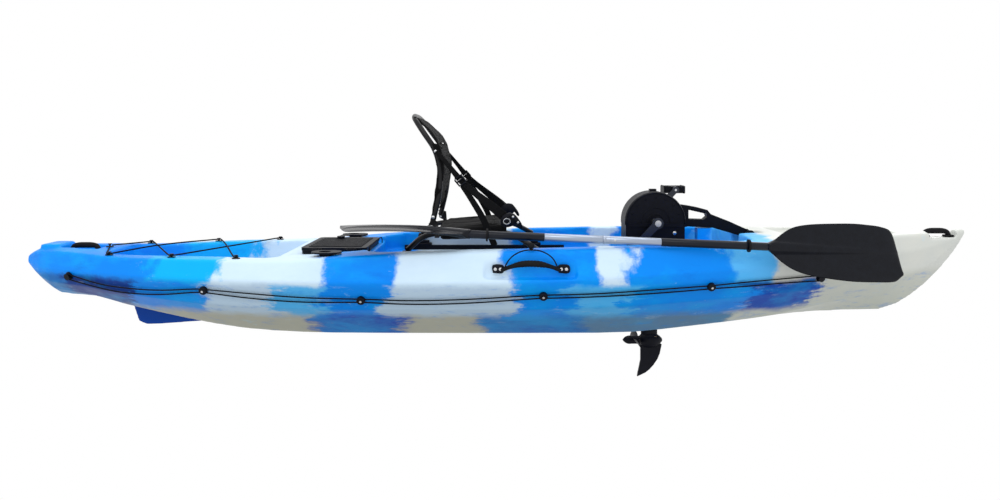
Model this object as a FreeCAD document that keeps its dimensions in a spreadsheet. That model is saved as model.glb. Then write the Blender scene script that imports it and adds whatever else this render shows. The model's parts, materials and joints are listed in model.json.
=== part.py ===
import FreeCAD, Part
import math
import os
import Sketcher
from FreeCAD import Placement, Rotation, Vector

# Pedal-drive sit-on-top fishing kayak.
# Frame: millimetres, +X to the bow, +Y to port, +Z up, origin on the keel line amidships.

doc = FreeCAD.newDocument("pedal_kayak")
sheet = doc.addObject("Spreadsheet::Sheet", "Dimensions")

DIMENSIONS = {
    # hull
    "hull_beam": 860, "ledge_height": 280, "floor_height": 140, "platform_height": 325,
    "tankwell_floor": 205, "scupper_radius": 16, "scupper_side": 150, "skeg_thickness": 34,
    "well_rear": 320, "well_front": 800, "well_width": 264,
    # hatch
    "hatch_rear": -800, "hatch_front": -540, "hatch_width": 360, "hatch_rim_height": 13,
    "hatch_lid_thickness": 12, "hatch_lip": 24, "hinge_pin_radius": 2, "latch_radius": 6,
    # rod holders and rails
    "rod_bore_radius": 21, "rod_tube_radius": 25, "rod_tube_depth": 190, "rod_holder_side": 300,
    "rail_rear": -440, "rail_front": 300, "rail_side": 302, "rail_width": 20, "rail_depth": 20,
    # drive
    "crank_forward": 655, "crank_height": 442, "crank_length": 175, "crank_side": 106,
    "crank_thickness": 13, "spindle_radius": 10, "pedal_length": 96, "pedal_width": 92,
    "pedal_thickness": 30, "pedal_axle_radius": 5, "drum_radius": 128, "drum_width": 124,
    "drum_wall": 5, "split_height": 431, "case_length": 247, "case_bottom": 337,
    "pivot_forward": 1060, "pivot_height": 385, "pivot_radius": 7, "arm_width": 40,
    "leg_length": 70, "leg_width": 44, "shaft_radius": 7, "prop_height": -65,
    "gearcase_radius": 33, "propeller_radius": 115, "propeller_hub_radius": 17,
    "prop_shaft_radius": 5, "fin_thickness": 12,
    "crown_teeth": 44, "pinion_teeth": 12, "pinion_radius": 18,
    "lower_teeth": 30, "lower_pinion_teeth": 12, "lower_pinion_radius": 8,
    # seat
    "seat_tube_radius": 11, "seat_side": 222, "cross_tube_radius": 9, "seat_pad_length": 290,
    "seat_pad_width": 412, "seat_pad_thickness": 23, "foot_length": 70, "foot_width": 36,
    "foot_height": 44, "back_hinge_forward": -268, "back_hinge_height": 440,
    "strap_thickness": 3, "strap_side": 243,
    # paddle
    "paddle_shaft_radius": 15, "blade_length": 510, "blade_width": 216, "blade_thickness": 6,
    # fittings
    "trolley_cord_radius": 1.75, "bungee_radius": 3, "guide_radius": 16, "guide_height": 14,
    "running_clearance": 0.05,
}

for row, (alias, value) in enumerate(DIMENSIONS.items(), start=1):
    sheet.set(f"A{row}", alias)
    sheet.set(f"B{row}", str(value))
    sheet.setAlias(f"B{row}", alias)
doc.recompute()

PORT, STARBOARD = 1, -1
SIDES = {"port": PORT, "starboard": STARBOARD}
X_AXIS, Y_AXIS, Z_AXIS = Vector(1, 0, 0), Vector(0, 1, 0), Vector(0, 0, 1)
nodes = []


def dim(alias):
    """A driving dimension from the sheet."""
    return float(sheet.get(alias))


def ref(formula):
    """A formula of aliases, as an expression that reads the sheet."""
    for alias in sorted(DIMENSIONS, key=len, reverse=True):
        formula = formula.replace(alias, f"<<{alias}>>")
    return formula.replace("<<", "Dimensions.").replace(">>", "")


def node(thing, label):
    """Name one sub-part and keep it for export."""
    thing.Label = label
    nodes.append(thing)
    return thing


def feature(label, shape, placement=None):
    """A sub-part whose shape is worked out here."""
    made = doc.addObject("Part::Feature", "Shape_" + label)
    made.Shape = shape
    if placement:
        made.Placement = placement
    return node(made, label)


def turned(base, axis):
    """A placement at base whose local Z points along axis."""
    return Placement(Vector(*base), Rotation(Z_AXIS, Vector(*axis)))


def cylinder(name, radius, height, base, axis):
    """A Part cylinder with its sizes bound to the sheet."""
    made = doc.addObject("Part::Cylinder", name)
    made.setExpression("Radius", ref(radius))
    made.setExpression("Height", ref(height))
    made.Placement = turned(base, axis)
    return made


def block(name, length, width, height, base):
    """A Part box with its sizes bound to the sheet."""
    made = doc.addObject("Part::Box", name)
    made.setExpression("Length", ref(length))
    made.setExpression("Width", ref(width))
    made.setExpression("Height", ref(height))
    made.Placement.Base = Vector(*base)
    return made


def cut(name, base, tool):
    made = doc.addObject("Part::Cut", name)
    made.Base = base
    made.Tool = tool
    return made


def group(label, *shapes):
    """Like pieces that share one node as separate solids."""
    made = doc.addObject("Part::Compound", "Group_" + label)
    made.Links = list(shapes)
    return node(made, label)


def plane(body, role):
    return next(item for item in body.Origin.OriginFeatures if item.Role == role)


def add_loop(sketch, outline):
    """Draw one closed loop of straight lines, joined end to end."""
    first = sketch.GeometryCount
    ends = list(outline[1:]) + [outline[0]]
    for number, (start, end) in enumerate(zip(outline, ends), start=first):
        sketch.addGeometry(Part.LineSegment(Vector(*start, 0), Vector(*end, 0)), False)
        if number > first:
            sketch.addConstraint(Sketcher.Constraint("Coincident", number - 1, 2, number, 1))
    sketch.addConstraint(Sketcher.Constraint("Coincident", sketch.GeometryCount - 1, 2, first, 1))


def plate(label, outline, thickness, middle, holes=(), windows=()):
    """A PartDesign body: a flat outline in the XZ plane, padded evenly both ways about
    middle, the piece's place across it. Each hole is (x, z, radius), each window a loop."""
    body = doc.addObject("PartDesign::Body", "Body_" + label)
    sketch = body.newObject("Sketcher::SketchObject", "Outline_" + label)
    sketch.AttachmentSupport = [(plane(body, "XZ_Plane"), "")]
    sketch.MapMode = "FlatFace"
    add_loop(sketch, outline)
    for window in windows:
        add_loop(sketch, window)
    for x, z, radius in holes:
        circle = sketch.addGeometry(Part.Circle(Vector(x, z, 0), Z_AXIS, radius), False)
        sketch.addConstraint(Sketcher.Constraint("Radius", circle, radius))
    pad = body.newObject("PartDesign::Pad", "Pad_" + label)
    pad.Profile = sketch
    pad.Midplane = True
    pad.setExpression("Length", ref(thickness))
    body.Placement.Base = Vector(0, middle, 0)
    return body


def smooth_curve(points, at):
    """A smooth curve through (place, value) points that never overshoots them."""
    steps = list(zip(points, points[1:]))
    slopes = [(b[1] - a[1]) / (b[0] - a[0]) for a, b in steps]
    tangents = [slopes[0]]
    for before, after in zip(slopes, slopes[1:]):
        flat = before * after <= 0
        tangents.append(0 if flat else 2 * before * after / (before + after))
    tangents.append(slopes[-1])
    at = min(max(at, points[0][0]), points[-1][0])
    for number, ((x0, y0), (x1, y1)) in enumerate(steps):
        if at <= x1:
            break
    width = x1 - x0
    u = (at - x0) / width
    return ((2 * u**3 - 3 * u**2 + 1) * y0 + (u**3 - 2 * u**2 + u) * width * tangents[number]
            + (3 * u**2 - 2 * u**3) * y1 + (u**3 - u**2) * width * tangents[number + 1])


def polygon(points):
    return Part.makePolygon([Vector(*p) for p in points] + [Vector(*points[0])])


def rounded_route(route, label):
    """A wire of straight runs and tangent arcs along a route of points, each arc as large
    as 0.45 of its shorter run allows."""
    route = [Vector(*point) for point in route]
    edges, tightest, start = [], None, route[0]
    for before, corner, after in zip(route, route[1:], route[2:]):
        incoming, outgoing = corner - before, after - corner
        turn = incoming.getAngle(outgoing)
        reach = 0.45 * min(incoming.Length, outgoing.Length)
        radius = reach / math.tan(turn / 2)
        tightest = min(radius, tightest or radius)
        entry = corner - incoming.normalize() * reach
        leave = corner + outgoing.normalize() * reach
        middle = corner + ((entry - corner) + (leave - corner)).normalize() * (
            radius / math.cos(turn / 2) - radius)
        edges.append(Part.LineSegment(start, entry).toShape())
        edges.append(Part.Arc(entry, middle, leave).toShape())
        start = leave
    edges.append(Part.LineSegment(start, route[-1]).toShape())
    wire = Part.Wire(edges)
    print(f"{label}: {wire.Length:.0f} mm long, tightest bend {tightest or 0:.0f} mm")
    return wire


def tube(route, radius, label):
    """A round bar, tube or cord along a route."""
    wire = rounded_route(route, label)
    first = wire.Edges[0]
    direction = first.tangentAt(first.FirstParameter)
    ring = Part.Wire(Part.makeCircle(radius, first.Vertexes[0].Point, direction))
    solid = wire.makePipeShell([ring], True, False)
    wanted = math.pi * radius**2 * wire.Length
    if abs(solid.Volume - wanted) > 0.02 * wanted:
        raise ValueError(f"{label}: tube volume {solid.Volume:.0f}, wanted {wanted:.0f}")
    return solid


def mirrored(shape):
    """The same shape on the other side of the boat."""
    return shape.mirror(Vector(0, 0, 0), Y_AXIS)


def both_sides(shape):
    return Part.makeCompound([shape, mirrored(shape)])


# ---------------------------------------------------------------- hull
# Lines of the hull along its length, each as (X, value).
HALF_BEAM = [(-1985, 48), (-1900, 100), (-1750, 160), (-1500, 250), (-1200, 335), (-900, 385),
             (-500, 420), (0, 430), (400, 425), (800, 375), (1100, 310), (1400, 220),
             (1700, 115), (1900, 40), (1982, 10)]
KEEL = [(-1985, 262), (-1930, 189), (-1868, 137), (-1690, 120), (-1560, 90), (-1330, 51),
        (-1160, 27), (-980, 10), (-700, 0), (450, 0), (800, 18), (1110, 36), (1350, 58),
        (1640, 66), (1700, 92), (1795, 157), (1897, 259), (1965, 350), (1982, 385)]
UPPER_CHINE = [(-1985, 278), (-1900, 262), (-1750, 252), (-900, 251), (0, 254), (530, 276),
               (1000, 297), (1660, 326), (1800, 342), (1982, 391)]
GUNWALE = [(-1985, 300), (-1940, 322), (-1800, 330), (-1500, 320), (-1200, 324), (-880, 326),
           (-400, 357), (170, 373), (750, 385), (1400, 392), (1850, 398), (1982, 403)]
DECK_CROWN = [(-1985, 2), (-1860, 18), (-1800, 8), (-1600, 4), (-860, 1), (-520, 1),
              (1000, 8), (1300, 14), (1700, 10), (1982, 4)]
BILGE_RISE = [(-1985, 0.3), (-1500, 0.15), (-900, 0.05), (450, 0.05), (1100, 0.14),
              (1600, 0.38), (1982, 0.5)]
CHINE_WIDTH = [(-1985, 0.9), (0, 0.895), (1100, 0.87), (1700, 0.78), (1982, 0.75)]
STATIONS = 46
BILGE_WIDTH, CHINE_HEIGHT, GUNWALE_WIDTH = 0.47, 0.57, 0.93


def section(x):
    """Half of the hull's section at x, from the keel to the middle of the deck, as (Y, Z)."""
    beam = smooth_curve(HALF_BEAM, x) * dim("hull_beam") / 860
    keel = smooth_curve(KEEL, x)
    chine = smooth_curve(UPPER_CHINE, x)
    gunwale = smooth_curve(GUNWALE, x)
    crown = smooth_curve(DECK_CROWN, x)
    side = chine - keel
    return [(0, keel),
            (BILGE_WIDTH * beam, keel + smooth_curve(BILGE_RISE, x) * side * 0.9),
            (smooth_curve(CHINE_WIDTH, x) * beam, keel + CHINE_HEIGHT * side),
            (beam, chine),
            (GUNWALE_WIDTH * beam, gunwale - 0.07 * (gunwale - chine)),
            ((GUNWALE_WIDTH - 0.03) * beam, gunwale),
            (0.45 * beam, gunwale + 0.8 * crown),
            (0, gunwale + crown)]


def hull_wire(x):
    half = section(x)
    other = [(-y, z) for y, z in reversed(half[1:-1])]
    return polygon([(x, y, z) for y, z in half + other])


def side_at(x, z):
    """How far the hull's side stands from the centreline at height z."""
    half = section(x)
    for (y0, z0), (y1, z1) in zip(half[1:5], half[2:6]):
        if z <= z1:
            return y0 + (y1 - y0) * (z - z0) / (z1 - z0)
    return half[4][0]


def side_normal(x, z):
    """The outward direction of the starboard side at (x, z)."""
    along = Vector(20, -(side_at(x + 10, z) - side_at(x - 10, z)), 0)
    upward = Vector(0, -(side_at(x, z + 3) - side_at(x, z - 3)), 6)
    out = along.cross(upward)
    return out.normalize() * (-1 if out.y > 0 else 1)


def on_side(x, z, stand_off):
    """A point that far outside the starboard side."""
    return Vector(x, -side_at(x, z), z) + side_normal(x, z) * stand_off


def well(top, bottom, z_top, z_bottom, corner):
    """A moulded well, wider at its mouth. Each plan is a list of (X, half width)."""
    def ring(plan, z):
        return polygon([(x, w, z) for x, w in plan] + [(x, -w, z) for x, w in reversed(plan)])
    solid = Part.makeLoft([ring(bottom, z_bottom), ring(top, z_top)], True, True)
    upright = [e for e in solid.Edges
               if abs(e.Vertexes[0].Z - e.Vertexes[-1].Z) > 0.9 * (z_top - z_bottom)]
    return solid.makeFillet(corner, upright)


def box(x0, x1, y0, y1, z0, z1):
    return Part.makeBox(x1 - x0, y1 - y0, z1 - z0, Vector(x0, y0, z0))


def rod_holder_axis(side):
    """The holder's mouth on the deck, and the way down its tube: forward and slightly in."""
    mouth = Vector(-670, side * dim("rod_holder_side"), 341)
    down = Vector(0.48, -0.06 * side, -0.87).normalize()
    return mouth, down


def rounded(shape, radius):
    """The same block with its upright edges rounded."""
    upright = [e for e in shape.Edges if len(e.Vertexes) == 2
               and (e.Vertexes[0].Point - e.Vertexes[1].Point).cross(Z_AXIS).Length < 0.01]
    return shape.makeFillet(radius, upright)


SKEG = [(-1562, 0, 120), (-1556, 0, 88), (-1533, 0, 18), (-1500, 0, 4), (-1430, 0, 6),
        (-1160, 0, 26), (-1160, 0, 80)]
DECK_CLEAR, TANK_CLEAR = 460, 400
# Mouth and floor plans of the moulded wells, as (X, half width).
TANKWELL = [(-1630, 152), (-860, 306)], [(-1600, 112), (-895, 258)]
COCKPIT = ([(-528, 255), (-440, 326), (0, 342), (400, 338), (700, 312), (1008, 238)],
           [(-518, 252), (-435, 322), (0, 336), (400, 332), (700, 304), (1000, 233)])
FOOTWELL = ([(-470, 190), (-405, 248), (315, 248), (352, 306), (650, 294), (970, 228)],
            [(-450, 170), (-395, 230), (325, 230), (362, 296), (650, 285), (955, 220)])
BOW_TRAY = [(1165, 205), (1660, 88)], [(1180, 195), (1645, 80)]
BOW_TRAY_FLOOR, CONSOLE_TOP = 377, 342
# Square recesses in the deck, as (rear, front, half width, floor).
RECESSES = [(990, 1112, 46, 343), (-832, -500, 222, dim("platform_height")),
            (-768, -572, 146, 180), (1798, 1938, 90, 374), (-1842, -1690, 60, 312)]
SCUPPERS = [(-1250, 130), (-250, dim("scupper_side")), (225, dim("scupper_side"))]
RIB_PITCH, RIB_HALF, RIB_RISE, SCOOP_CORNER = 56, 8, 6, 14


def make_hull():
    spread = [math.cos(math.pi * number / STATIONS) for number in range(STATIONS + 1)]
    first, last = HALF_BEAM[0][0], HALF_BEAM[-1][0]
    places = [(first + last) / 2 - (last - first) / 2 * value for value in spread]
    hull = Part.makeLoft([hull_wire(x) for x in places], True, True)

    skeg = Part.Face(polygon(SKEG))
    half = dim("skeg_thickness") / 2
    skeg.translate(Vector(0, -half, 0))
    hull = hull.fuse(skeg.extrude(Vector(0, 2 * half, 0)))
    stern_block = rounded(box(-1925, -1843, -66, 66, 300, 350), 16)
    hull = hull.fuse(stern_block)

    floor, ledge = dim("floor_height"), dim("ledge_height")
    tankwell = well(*TANKWELL, TANK_CLEAR, dim("tankwell_floor"), 45)
    cockpit = well(*COCKPIT, DECK_CLEAR, ledge, 25)
    footwell = well(*FOOTWELL, ledge + 1, floor, 18)
    bow_tray = well(*BOW_TRAY, DECK_CLEAR, BOW_TRAY_FLOOR, 30)
    half = dim("well_width") / 2
    drive_well = box(dim("well_rear"), dim("well_front"), -half, half, -80, floor + 1)
    drive_well = drive_well.makeFillet(40, [e for e in drive_well.Edges
                                            if abs(e.Vertexes[0].Z - e.Vertexes[-1].Z) > 100])
    console = box(808, 1030, -88, 88, floor - 20, CONSOLE_TOP)
    recesses = [box(rear, front, -half, half, low, DECK_CLEAR)
                for rear, front, half, low in RECESSES]
    for tool in [tankwell, cockpit.cut(console), footwell.cut(console), drive_well, bow_tray,
                 *recesses]:
        hull = hull.cut(tool)

    for side in SIDES.values():
        scoop = box(-58, 292, 406, 520, 266, 333)
        across_edges = [e for e in scoop.Edges
                        if abs(e.Vertexes[0].Y - e.Vertexes[-1].Y) > 60]
        scoop = scoop.makeFillet(SCOOP_CORNER, across_edges)
        hull = hull.cut(scoop if side == PORT else mirrored(scoop))
        mouth, down = rod_holder_axis(side)
        bore = Part.makeCylinder(dim("rod_tube_radius") + 0.2, dim("rod_tube_depth") + 45,
                                 mouth - down * 40, down)
        hull = hull.cut(bore)
        for x, y in SCUPPERS:
            hole = Part.makeCylinder(dim("scupper_radius"), 320, Vector(x, side * y, -40))
            hull = hull.cut(hole)
    tank_floor = dim("tankwell_floor")
    ribs = [box(-1560 + 20 * abs(number), -925, number * RIB_PITCH - RIB_HALF,
                number * RIB_PITCH + RIB_HALF, tank_floor - 5, tank_floor + RIB_RISE)
            for number in (-1, 0, 1)]
    return hull.fuse(ribs)


feature("hull", make_hull())

# ---------------------------------------------------------------- rear hatch
rim_length = "hatch_front - hatch_rear"
lid_bottom = dim("platform_height") + dim("hatch_rim_height") + 1
hinge_side = -dim("hatch_width") / 2 - 6
hinge_height = lid_bottom + 5
pin_radius, gap = dim("hinge_pin_radius"), dim("running_clearance")
HINGES = (-740, -600)
LATCH = Vector(-700, 120, 0)
CAM_LOW, CAM_HIGH, KNOB_HEIGHT = 318, 324, 9
LID_RIB_PITCH, LID_RIB_HALF, LID_RIB_RISE = 34, 7, 3


def make_hatch_rim():
    rear, front, half = dim("hatch_rear"), dim("hatch_front"), dim("hatch_width") / 2
    low = dim("platform_height") + 0.2
    high = low + dim("hatch_rim_height")
    lip = dim("hatch_lip")
    rim = rounded(box(rear, front, -half, half, low, high), 20)
    rim = rim.cut(rounded(box(rear + lip, front - lip, -half + lip, half - lip, 300, 400), 16))
    for x in HINGES:
        ear = box(x - 12, x + 12, -half - 12, -half + 2, low, hinge_height)
        ear = ear.fuse(Part.makeCylinder(5, 24, Vector(x - 12, hinge_side, hinge_height), X_AXIS))
        bore = Part.makeCylinder(pin_radius, 60, Vector(x - 30, hinge_side, hinge_height), X_AXIS)
        rim = rim.fuse(ear).cut(bore)
    return rim


def make_hatch_lid():
    rear, front, half = dim("hatch_rear"), dim("hatch_front"), dim("hatch_width") / 2
    thick = dim("hatch_lid_thickness")
    lid = rounded(box(rear - 3, front + 3, -half, half + 3, lid_bottom, lid_bottom + thick), 22)
    for number in range(-4, 5):
        middle = number * LID_RIB_PITCH
        rib = box(rear + 22, front - 22, middle - LID_RIB_HALF, middle + LID_RIB_HALF,
                  lid_bottom + thick - 1, lid_bottom + thick + LID_RIB_RISE)
        lid = lid.fuse(rounded(rib, 1.9))
    plug = rounded(box(rear + 27, front - 27, -half + 27, half - 27,
                       lid_bottom - 9, lid_bottom + 1), 14)
    lid = lid.fuse(plug)
    for x in HINGES:
        slot = box(x - 13, x + 13, -half - 20, -half + 3.5, 300, 400)
        lid = lid.cut(slot)
        for end in (x - 24, x + 13.2):
            knuckle = Part.makeCylinder(5, 10.8, Vector(end, hinge_side, hinge_height), X_AXIS)
            knuckle = knuckle.fuse(box(end, end + 10.8, hinge_side, -half + 4,
                                       hinge_height - 4, hinge_height + 4))
            lid = lid.fuse(knuckle)
        bore = Part.makeCylinder(pin_radius + gap, 60, Vector(x - 30, hinge_side, hinge_height),
                                 X_AXIS)
        lid = lid.cut(bore)
    shaft_hole = Part.makeCylinder(dim("latch_radius") + gap, 60, LATCH + Vector(0, 0, 310))
    return lid.cut(shaft_hole)


feature("hatch_rim", make_hatch_rim())
feature("hatch_lid", make_hatch_lid())
group("hatch_hinge_pins", *[
    cylinder(f"HingePin{number}", "hinge_pin_radius", "48", (x - 24, hinge_side, hinge_height),
             X_AXIS) for number, x in enumerate(HINGES)])


def make_latch():
    top = lid_bottom + dim("hatch_lid_thickness") + 3.3
    x, y = LATCH.x, LATCH.y
    shaft = Part.makeCylinder(dim("latch_radius"), top - CAM_LOW, Vector(x, y, CAM_LOW))
    knob = Part.makeCylinder(17, KNOB_HEIGHT, Vector(x, y, top))
    lever = rounded(box(x - 8, x + 8, y - 10, y + 52, top, top + KNOB_HEIGHT), 6)
    cam = rounded(box(x - 12, x + 12, y - 12, y + 23, CAM_LOW, CAM_HIGH), 6)
    return shaft.fuse([knob, lever, cam])


feature("hatch_latch", make_latch())
feature("hatch_band", tube([(-527, -176, 327), (-526, -172, 344), (-527, -150, 356),
                            (-526, -80, 356.5), (-527, 0, 357), (-526, 80, 356.5),
                            (-527, 150, 356), (-526, 172, 344), (-527, 176, 327)], 2.5,
                           "hatch_band"))

# ---------------------------------------------------------------- rod holders and seat rails


def make_rod_holder(side):
    mouth, down = rod_holder_axis(side)
    radius, bore = dim("rod_tube_radius"), dim("rod_bore_radius")
    depth = dim("rod_tube_depth")
    flange = rounded(box(-728, -612, mouth.y - 40, mouth.y + 40, 347, 353), 38)
    body = Part.makeCylinder(radius, depth + 25, mouth - down * 25, down)
    body = body.cut(box(-800, -500, mouth.y - 90, mouth.y + 90, 353, 460)).fuse(flange)
    return body.cut(Part.makeCylinder(bore, depth + 55, mouth - down * 60, down))


feature("rod_holders", Part.makeCompound([make_rod_holder(side) for side in SIDES.values()]))

rails = []
for side_name, side in SIDES.items():
    bar = block(f"RailBar_{side_name}", "rail_front - rail_rear", "rail_width", "rail_depth",
                (dim("rail_rear"), side * dim("rail_side") - 10, dim("ledge_height") + 0.2))
    slot = block(f"RailSlot_{side_name}", "rail_front - rail_rear + 2", "6", "8",
                 (dim("rail_rear") - 1, side * dim("rail_side") - 3, dim("ledge_height") + 12.3))
    rails.append(cut(f"Rail_{side_name}", bar, slot))
group("seat_rails", *rails)

# ---------------------------------------------------------------- carry handles


def end_handle(first, last, foot, top, label):
    """A moulded carry handle along the centreline: a bar with turned-down ends."""
    quarter = (last - first) * 0.16
    arch = tube([(first, 0, foot + 3), (first + 4, 0, top - 12), (first + quarter, 0.4, top),
                 ((first + last) / 2, -0.4, top + 1.5), (last - quarter, 0.4, top),
                 (last - 4, 0, top - 12), (last, 0, foot + 3)], 8, label)
    pads = [rounded(box(x - 17, x + 17, -16, 16, foot, foot + 8), 12) for x in (first, last)]
    return arch.fuse(pads)


feature("end_handles", Part.makeCompound([end_handle(1822, 1914, 374.3, 405, "bow_handle"),
                                          end_handle(-1818, -1714, 312.3, 340,
                                                     "stern_handle")]))

SIDE_GRIP = [(15, -424.5, 302), (38, -427, 312), (75, -430, 321), (117, -431, 324),
             (160, -430, 321), (198, -427, 312), (221, -424.5, 302)]
grip = tube(SIDE_GRIP, 9, "side_grip")
bracket = rounded(box(-24, 11, -420, -406.4, 282, 318), 5)
bracket = bracket.fuse(box(-8, 11, -434, -420, 284, 299.6))
brackets = Part.makeCompound([bracket, bracket.mirror(Vector(118, 0, 0), X_AXIS)])
screw_heads = []
for x in (-16, 252):
    for z in (289, 311):
        screw_heads.append(Part.makeCylinder(4.5, 2.5, Vector(x, -420.1, z), -Y_AXIS))
feature("side_handle_grips", both_sides(grip))
feature("side_handle_brackets", both_sides(brackets))
feature("side_handle_screws", both_sides(Part.makeCompound(screw_heads)))

# ---------------------------------------------------------------- tankwell cords
CORD_HOOKS = [(-1570, 188), (-1290, 256), (-1020, 304)]
REAR_HOOK = (-1662, 0)


def deck_at(x, y):
    """The height of the deck between the gunwales, before any well."""
    for (y1, z1), (y0, z0) in zip(section(x)[5:], section(x)[6:]):
        if abs(y) >= y0:
            return z0 + (z1 - z0) * min(1, (abs(y) - y0) / (y1 - y0))


def cord_hook(x, y):
    """A moulded mushroom hook standing on the deck, which a shock cord goes round."""
    low = 0.4 + max(deck_at(x + dx, y + dy) for dx in (-15, 0, 15) for dy in (-8, 0, 8))
    base = rounded(box(x - 15, x + 15, y - 8, y + 8, low, low + 3), 6)
    post = Part.makeCylinder(4, 13, Vector(x, y, low))
    cap = Part.makeCylinder(8, 3, Vector(x, y, low + 11))
    return base.fuse([post, cap])


hooks = [cord_hook(x, side * y) for x, y in CORD_HOOKS for side in (PORT, STARBOARD)]
feature("tankwell_hooks", Part.makeCompound(hooks + [cord_hook(*REAR_HOOK)]))

BUNGEE_LONG = [(-1656, 9, 338), (-1618, 96, 334), (-1581, 190, 330), (-1570, 200, 330),
               (-1560, 191, 330), (-1300, -259, 332), (-1290, -268, 332), (-1280, -259, 332),
               (-1030, 307, 333), (-1020, 316, 333), (-1011, 306, 333)]
BUNGEE_CROSS = [(-1011, -306, 333), (-1020, -316, 333), (-1030, -307, 333), (-1166, 0, 343),
                (-1280, 259, 332), (-1290, 268, 332), (-1300, 259, 332), (-1450, 0, 342),
                (-1560, -191, 330), (-1570, -200, 330), (-1581, -190, 330),
                (-1618, -96, 334), (-1656, -9, 338)]
feature("tankwell_bungees", Part.makeCompound([
    tube(BUNGEE_LONG, dim("bungee_radius"), "bungee_long"),
    tube(BUNGEE_CROSS, dim("bungee_radius"), "bungee_cross")]))

# ---------------------------------------------------------------- anchor trolley
# Guides stand on the starboard side as (X, Z); two cords run through them between pulleys.
GUIDES = [(-1132, 211), (-519, 185), (165, 203), (807, 228)]
PULLEYS = {"stern": (-1747, 235), "bow": (1268, 243)}
CORD_OFF, CORD_APART, SHEAVE_RADIUS = 9, 7, 9


def fitting_frame(x, z):
    """On the starboard side at (x, z): along the boat, up the side, and outward."""
    out = side_normal(x, z)
    along = Vector(1, 0, 0)
    along = (along - out * along.dot(out)).normalize()
    up = out.cross(along)
    up = up if up.z > 0 else up * -1
    return along, up, out


def make_guide(x, z):
    along, up, out = fitting_frame(x, z)
    foot = on_side(x, z, 1.5)
    body = Part.makeCylinder(dim("guide_radius"), dim("guide_height"), foot, out)
    body = body.makeFillet(4, [e for e in body.Edges if len(e.Vertexes) == 1
                               and e.CenterOfMass.distanceToPoint(foot) > 9])
    for share in (1, -1):
        centre = on_side(x, z, CORD_OFF) + up * (share * CORD_APART)
        body = body.cut(Part.makeCylinder(2.6, 80, centre - along * 40, along))
    return body


def make_rivet(x, z):
    out = side_normal(x, z)
    return Part.makeCylinder(4.5, 1.6, on_side(x, z, 1.6 + dim("guide_height")), out)


feature("trolley_guides", Part.makeCompound([make_guide(x, z) for x, z in GUIDES]))
feature("trolley_rivets", Part.makeCompound([make_rivet(x, z) for x, z in GUIDES]))


def make_pulley_block(x, z):
    along, up, out = fitting_frame(x, z)
    foot = on_side(x, z, 1.2)
    block_plate = Part.makeCylinder(17, 3, foot, out)
    cheek = Part.makeCylinder(14, 2.5, on_side(x, z, 14), out)
    axle = Part.makeCylinder(2.5, 16, foot, out)
    return block_plate.fuse([cheek, axle])


def make_sheave(x, z):
    out = side_normal(x, z)
    wheel = Part.makeCylinder(SHEAVE_RADIUS, 9.4, on_side(x, z, 4.4), out)
    groove = Part.makeTorus(SHEAVE_RADIUS + 0.6, 2.2, on_side(x, z, CORD_OFF), out)
    bore = Part.makeCylinder(2.5 + gap, 30, on_side(x, z, -2), out)
    spoke = Part.makeCylinder(1, 30, on_side(x, z, -2) + fitting_frame(x, z)[1] * 5, out)
    return wheel.cut(groove).cut(bore).cut(spoke)


feature("trolley_pulleys", Part.makeCompound([make_pulley_block(x, z)
                                              for x, z in PULLEYS.values()]))
for name, (x, z) in PULLEYS.items():
    feature(f"trolley_sheave_{name}", make_sheave(x, z))


def trolley_route(heights):
    """Points beside the hull at the cord's stand-off, from (X, Z) pairs."""
    return [tuple(on_side(x, z, CORD_OFF)) for x, z in heights]


def past_guide(x, z, share):
    """The two points, either side of a guide, between which its cord runs straight."""
    along, up, out = fitting_frame(x, z)
    centre = on_side(x, z, CORD_OFF) + up * (share * CORD_APART)
    return [tuple(centre - along * 24), tuple(centre + along * 24)]


# Between fittings the upper and the lower cord sag a little, as (X, Z).
UPPER_SPANS = [[(-1620, 214), (-1470, 203), (-1310, 203)], [(-950, 206), (-740, 193)],
               [(-330, 185), (-110, 192)], [(380, 213), (600, 226)], [(960, 244), (1110, 250)]]
LOWER_SPANS = [[(-1640, 203), (-1500, 183), (-1320, 184)], [(-950, 186), (-740, 174)],
               [(-330, 170), (-110, 176)], [(380, 201), (600, 211)], [(960, 226), (1110, 233)]]


def make_trolley_cord(spans, share, label):
    route = []
    x, z = PULLEYS["stern"]
    route.append(tuple(on_side(x, z, CORD_OFF)
                       + fitting_frame(x, z)[1] * (share * (SHEAVE_RADIUS + 3))))
    for span, guide in zip(spans, GUIDES + [None]):
        route += trolley_route(span)
        if guide:
            route += past_guide(*guide, share)
    x, z = PULLEYS["bow"]
    route.append(tuple(on_side(x, z, CORD_OFF)
                       + fitting_frame(x, z)[1] * (share * (SHEAVE_RADIUS + 3))))
    return tube(route, dim("trolley_cord_radius"), label)


feature("trolley_cords", Part.makeCompound([
    make_trolley_cord(UPPER_SPANS, 1, "trolley_cord_upper"),
    make_trolley_cord(LOWER_SPANS, -1, "trolley_cord_lower")]))

# ---------------------------------------------------------------- paddle park
PARK_BALL = Vector(120, -404, 388)
BALL_RADIUS, STALK_RADIUS, STALK_LENGTH = 13, 6, 14


def make_park_ball():
    """The ball that the paddle's shaft lies on, with its short stalk on the gunwale."""
    ball = Part.makeSphere(BALL_RADIUS, PARK_BALL)
    stalk = Part.makeCylinder(STALK_RADIUS, STALK_LENGTH, PARK_BALL - Vector(0, 0, BALL_RADIUS))
    return ball.fuse(stalk)


PARK_LOOP = [(20, -437, 312), (30, -441, 335), (52, -438, 358), (86, -432, 374),
             (120, -428, 377), (154, -432, 374), (188, -438, 358), (208, -441, 335),
             (216, -437, 312)]
feature("paddle_park_ball", make_park_ball())
feature("paddle_park_loop", tube(PARK_LOOP, 2.5, "paddle_park_loop"))

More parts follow.
